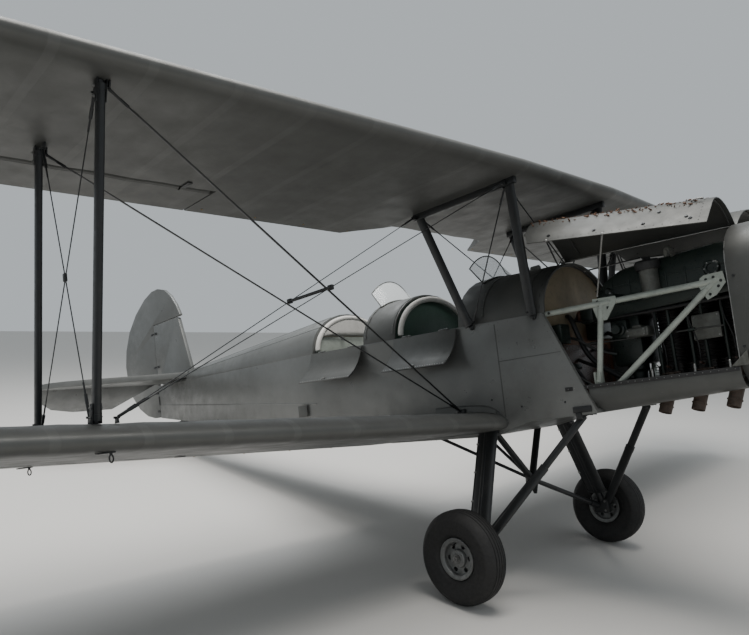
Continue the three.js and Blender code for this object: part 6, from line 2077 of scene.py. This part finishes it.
@dataclass
class Propeller:
  """Two laminated blades with sheathed tips, a bolted boss and a spun spinner."""

  x: float = 1.622
  z: float = 1.195
  rows: tuple[tuple[float, float, float, float], ...] = ((0.05, 0.105, 0.074, 60), (0.12, 0.112, 0.062, 55),
      (0.2, 0.13, 0.044, 48), (0.32, 0.15, 0.033, 38), (0.45, 0.162, 0.026, 30), (0.6, 0.158, 0.021, 24.5),
      (0.74, 0.148, 0.0175, 20), (0.86, 0.13, 0.0145, 17.5), (0.93, 0.108, 0.012, 16),
      (0.97, 0.084, 0.0105, 15.4), (0.99, 0.058, 0.009, 15), (0.999, 0.03, 0.007, 15))

  def section(self, row: tuple[float, float, float, float], way: float, grow: float = 0,
      sides: int = 20) -> list[Vector]:
    """The blade's section at one radius, flat behind and cambered in front."""
    radius, chord, thick, angle = row
    twist = way * radians(angle)
    points = []
    for a in circle(sides):
      u = (chord / 2 + grow) * cos(a)
      v = (thick / 2 + grow) * sin(a) * (0.85 + 0.2 * cos(a))
      points.append(Vector((self.x + u * sin(twist) + v * cos(twist), way * radius,
          self.z + u * cos(twist) - v * sin(twist))))
    return points

  def build(self) -> None:
    """Make the blades, their sheaths, the boss and the spinner."""
    piece = Piece("propeller_blades", WOOD)
    for way in (-1, 1):
      piece.loft([self.section(row, way) for row in self.rows]).use(BRASS)
      tip = [self.section(row, way, 0.0009) for row in self.rows[7:]]
      half = len(tip[0]) // 4
      edge = [[ring_points[i] for i in range(-half + 1, half)] for ring_points in tip]
      inner = [[point * 0.9985 + Vector((self.x, 0, self.z)) * 0.0015 for point in reversed(row)] for row in
          edge]
      piece.loft([outer + inside for outer, inside in zip(edge, inner)]).use(STEEL)
      for row in self.rows[7:10]:
        for i in (1, -1):
          at = self.section(row, way, 0.0012)[i * 3]
          piece.rivet(at, (1 if i > 0 else -1, 0, 0), 0.0025)
      piece.use(WOOD)
    piece.use(WOOD).turned([(0, -0.042), (0.098, -0.042), (0.1, -0.036), (0.1, 0.036), (0.098, 0.042),
        (0, 0.042)], (self.x, 0, self.z), FORE, 48)
    piece.use(METAL)
    spinner = [(0, -0.0515), (0.137, -0.0515), (0.14, -0.048), (0.1395, 0.02), (0.132, 0.045), (0.117, 0.066),
        (0.097, 0.0905), (0.074, 0.111), (0.05, 0.126), (0.027, 0.136), (0, 0.1395)]
    piece.turned(spinner, (self.x, 0, self.z), FORE, 64).use(STEEL)
    for a in circle(12, 0.5):
      out = Vector((0, cos(a), sin(a)))
      piece.rivet(Vector((self.x - 0.038, 0, self.z)) + out * 0.1395, out, 0.0042)
      piece.rivet(Vector((self.x + 0.008, 0, self.z)) + out * 0.1395, out, 0.0036)
    piece.place("propeller", ("propeller",))


@dataclass
class Studio:
  """A pale floor and backdrop colour, soft lamps and the camera of the picture."""

  eye: Point = (3.967, -3.307, 1.378)
  yaw: float = 45.94
  pitch: float = -3.99
  roll: float = 1.567
  focal_pixels: float = 677.66
  centre_pixel: tuple[float, float] = (373.92, 365.12)
  frame_pixels: tuple[int, int] = (749, 635)
  sensor: float = 36.0

  def camera(self) -> None:
    """Set the camera where the picture was taken from."""
    yaw, pitch, roll = (radians(a) for a in (self.yaw, self.pitch, self.roll))
    forward = Vector((-sin(yaw) * cos(pitch), cos(yaw) * cos(pitch), sin(pitch)))
    level = Vector((cos(yaw), sin(yaw), 0.0))
    upright = level.cross(forward)
    right = level * cos(roll) + upright * sin(roll)
    up = upright * cos(roll) - level * sin(roll)
    data = bpy.data.cameras.new("camera")
    wide, tall = self.frame_pixels
    data.sensor_width = self.sensor
    data.lens = self.focal_pixels * self.sensor / wide
    data.shift_x = (wide / 2 - self.centre_pixel[0]) / wide
    data.shift_y = (self.centre_pixel[1] - tall / 2) / wide
    data.clip_start, data.clip_end = 0.05, 200.0
    camera = bpy.data.objects.new("camera", data)
    turn = Matrix((right, up, -forward)).transposed()
    camera.matrix_world = Matrix.Translation(self.eye) @ turn.to_4x4()
    bpy.context.scene.collection.objects.link(camera)
    bpy.context.scene.camera = camera

  def lamp(self, name: str, place: Point, size: float, power: float, colour: Colour) -> None:
    """Hang one soft square lamp that looks at the middle of the aircraft."""
    data = bpy.data.lights.new(name, "AREA")
    data.shape, data.size, data.energy, data.color = "SQUARE", size, power, colour
    lamp = bpy.data.objects.new(name, data)
    aim = (Vector((0.5, 0.0, 1.0)) - Vector(place)).to_track_quat("-Z", "Y")
    lamp.matrix_world = Matrix.Translation(place) @ aim.to_matrix().to_4x4()
    bpy.context.scene.collection.objects.link(lamp)

  def build(self) -> None:
    """Lay the floor, light it and set the camera."""
    bm = bmesh.new()
    ops.create_grid(bm, x_segments=1, y_segments=1, size=40.0)
    mesh = bpy.data.meshes.new("floor")
    bm.to_mesh(mesh)
    bm.free()
    floor = bpy.data.objects.new("floor", mesh)
    bpy.context.scene.collection.objects.link(floor)
    graph = Graph("floor_pale")
    graph.shade(Base_Color=(0.6, 0.585, 0.56), Roughness=0.85)
    mesh.materials.append(graph.material)
    world = bpy.data.worlds.new("studio")
    bpy.context.scene.world = world
    world.use_nodes = True
    world.node_tree.nodes["Background"].inputs["Color"].default_value = (0.82, 0.88, 0.92, 1.0)
    world.node_tree.nodes["Background"].inputs["Strength"].default_value = 0.6
    self.lamp("key", (1.6, -1.2, 9.0), 5.5, 900.0, (1.0, 0.97, 0.93))
    self.lamp("top", (-3.6, 1.0, 8.5), 5.0, 420.0, (0.95, 0.98, 1.0))
    self.camera()


def main() -> None:
  """Build the aircraft group by group, and report each piece."""
  logging.basicConfig(level=logging.INFO, format="%(name)s %(message)s")
  groups = (Studio(), Airframe(), Wing(Level.UPPER, UPPER), Wing(Level.LOWER, LOWER), Fuselage(), Cockpits(),
      Cowling(), Engine(), Propeller(), Tail(), Struts(), Rigging(), Undercarriage(), Wheels())
  for group in groups:
    group.build()
    LOG.info("%s is done", type(group).__name__)


if __name__ == "__main__":
  main()
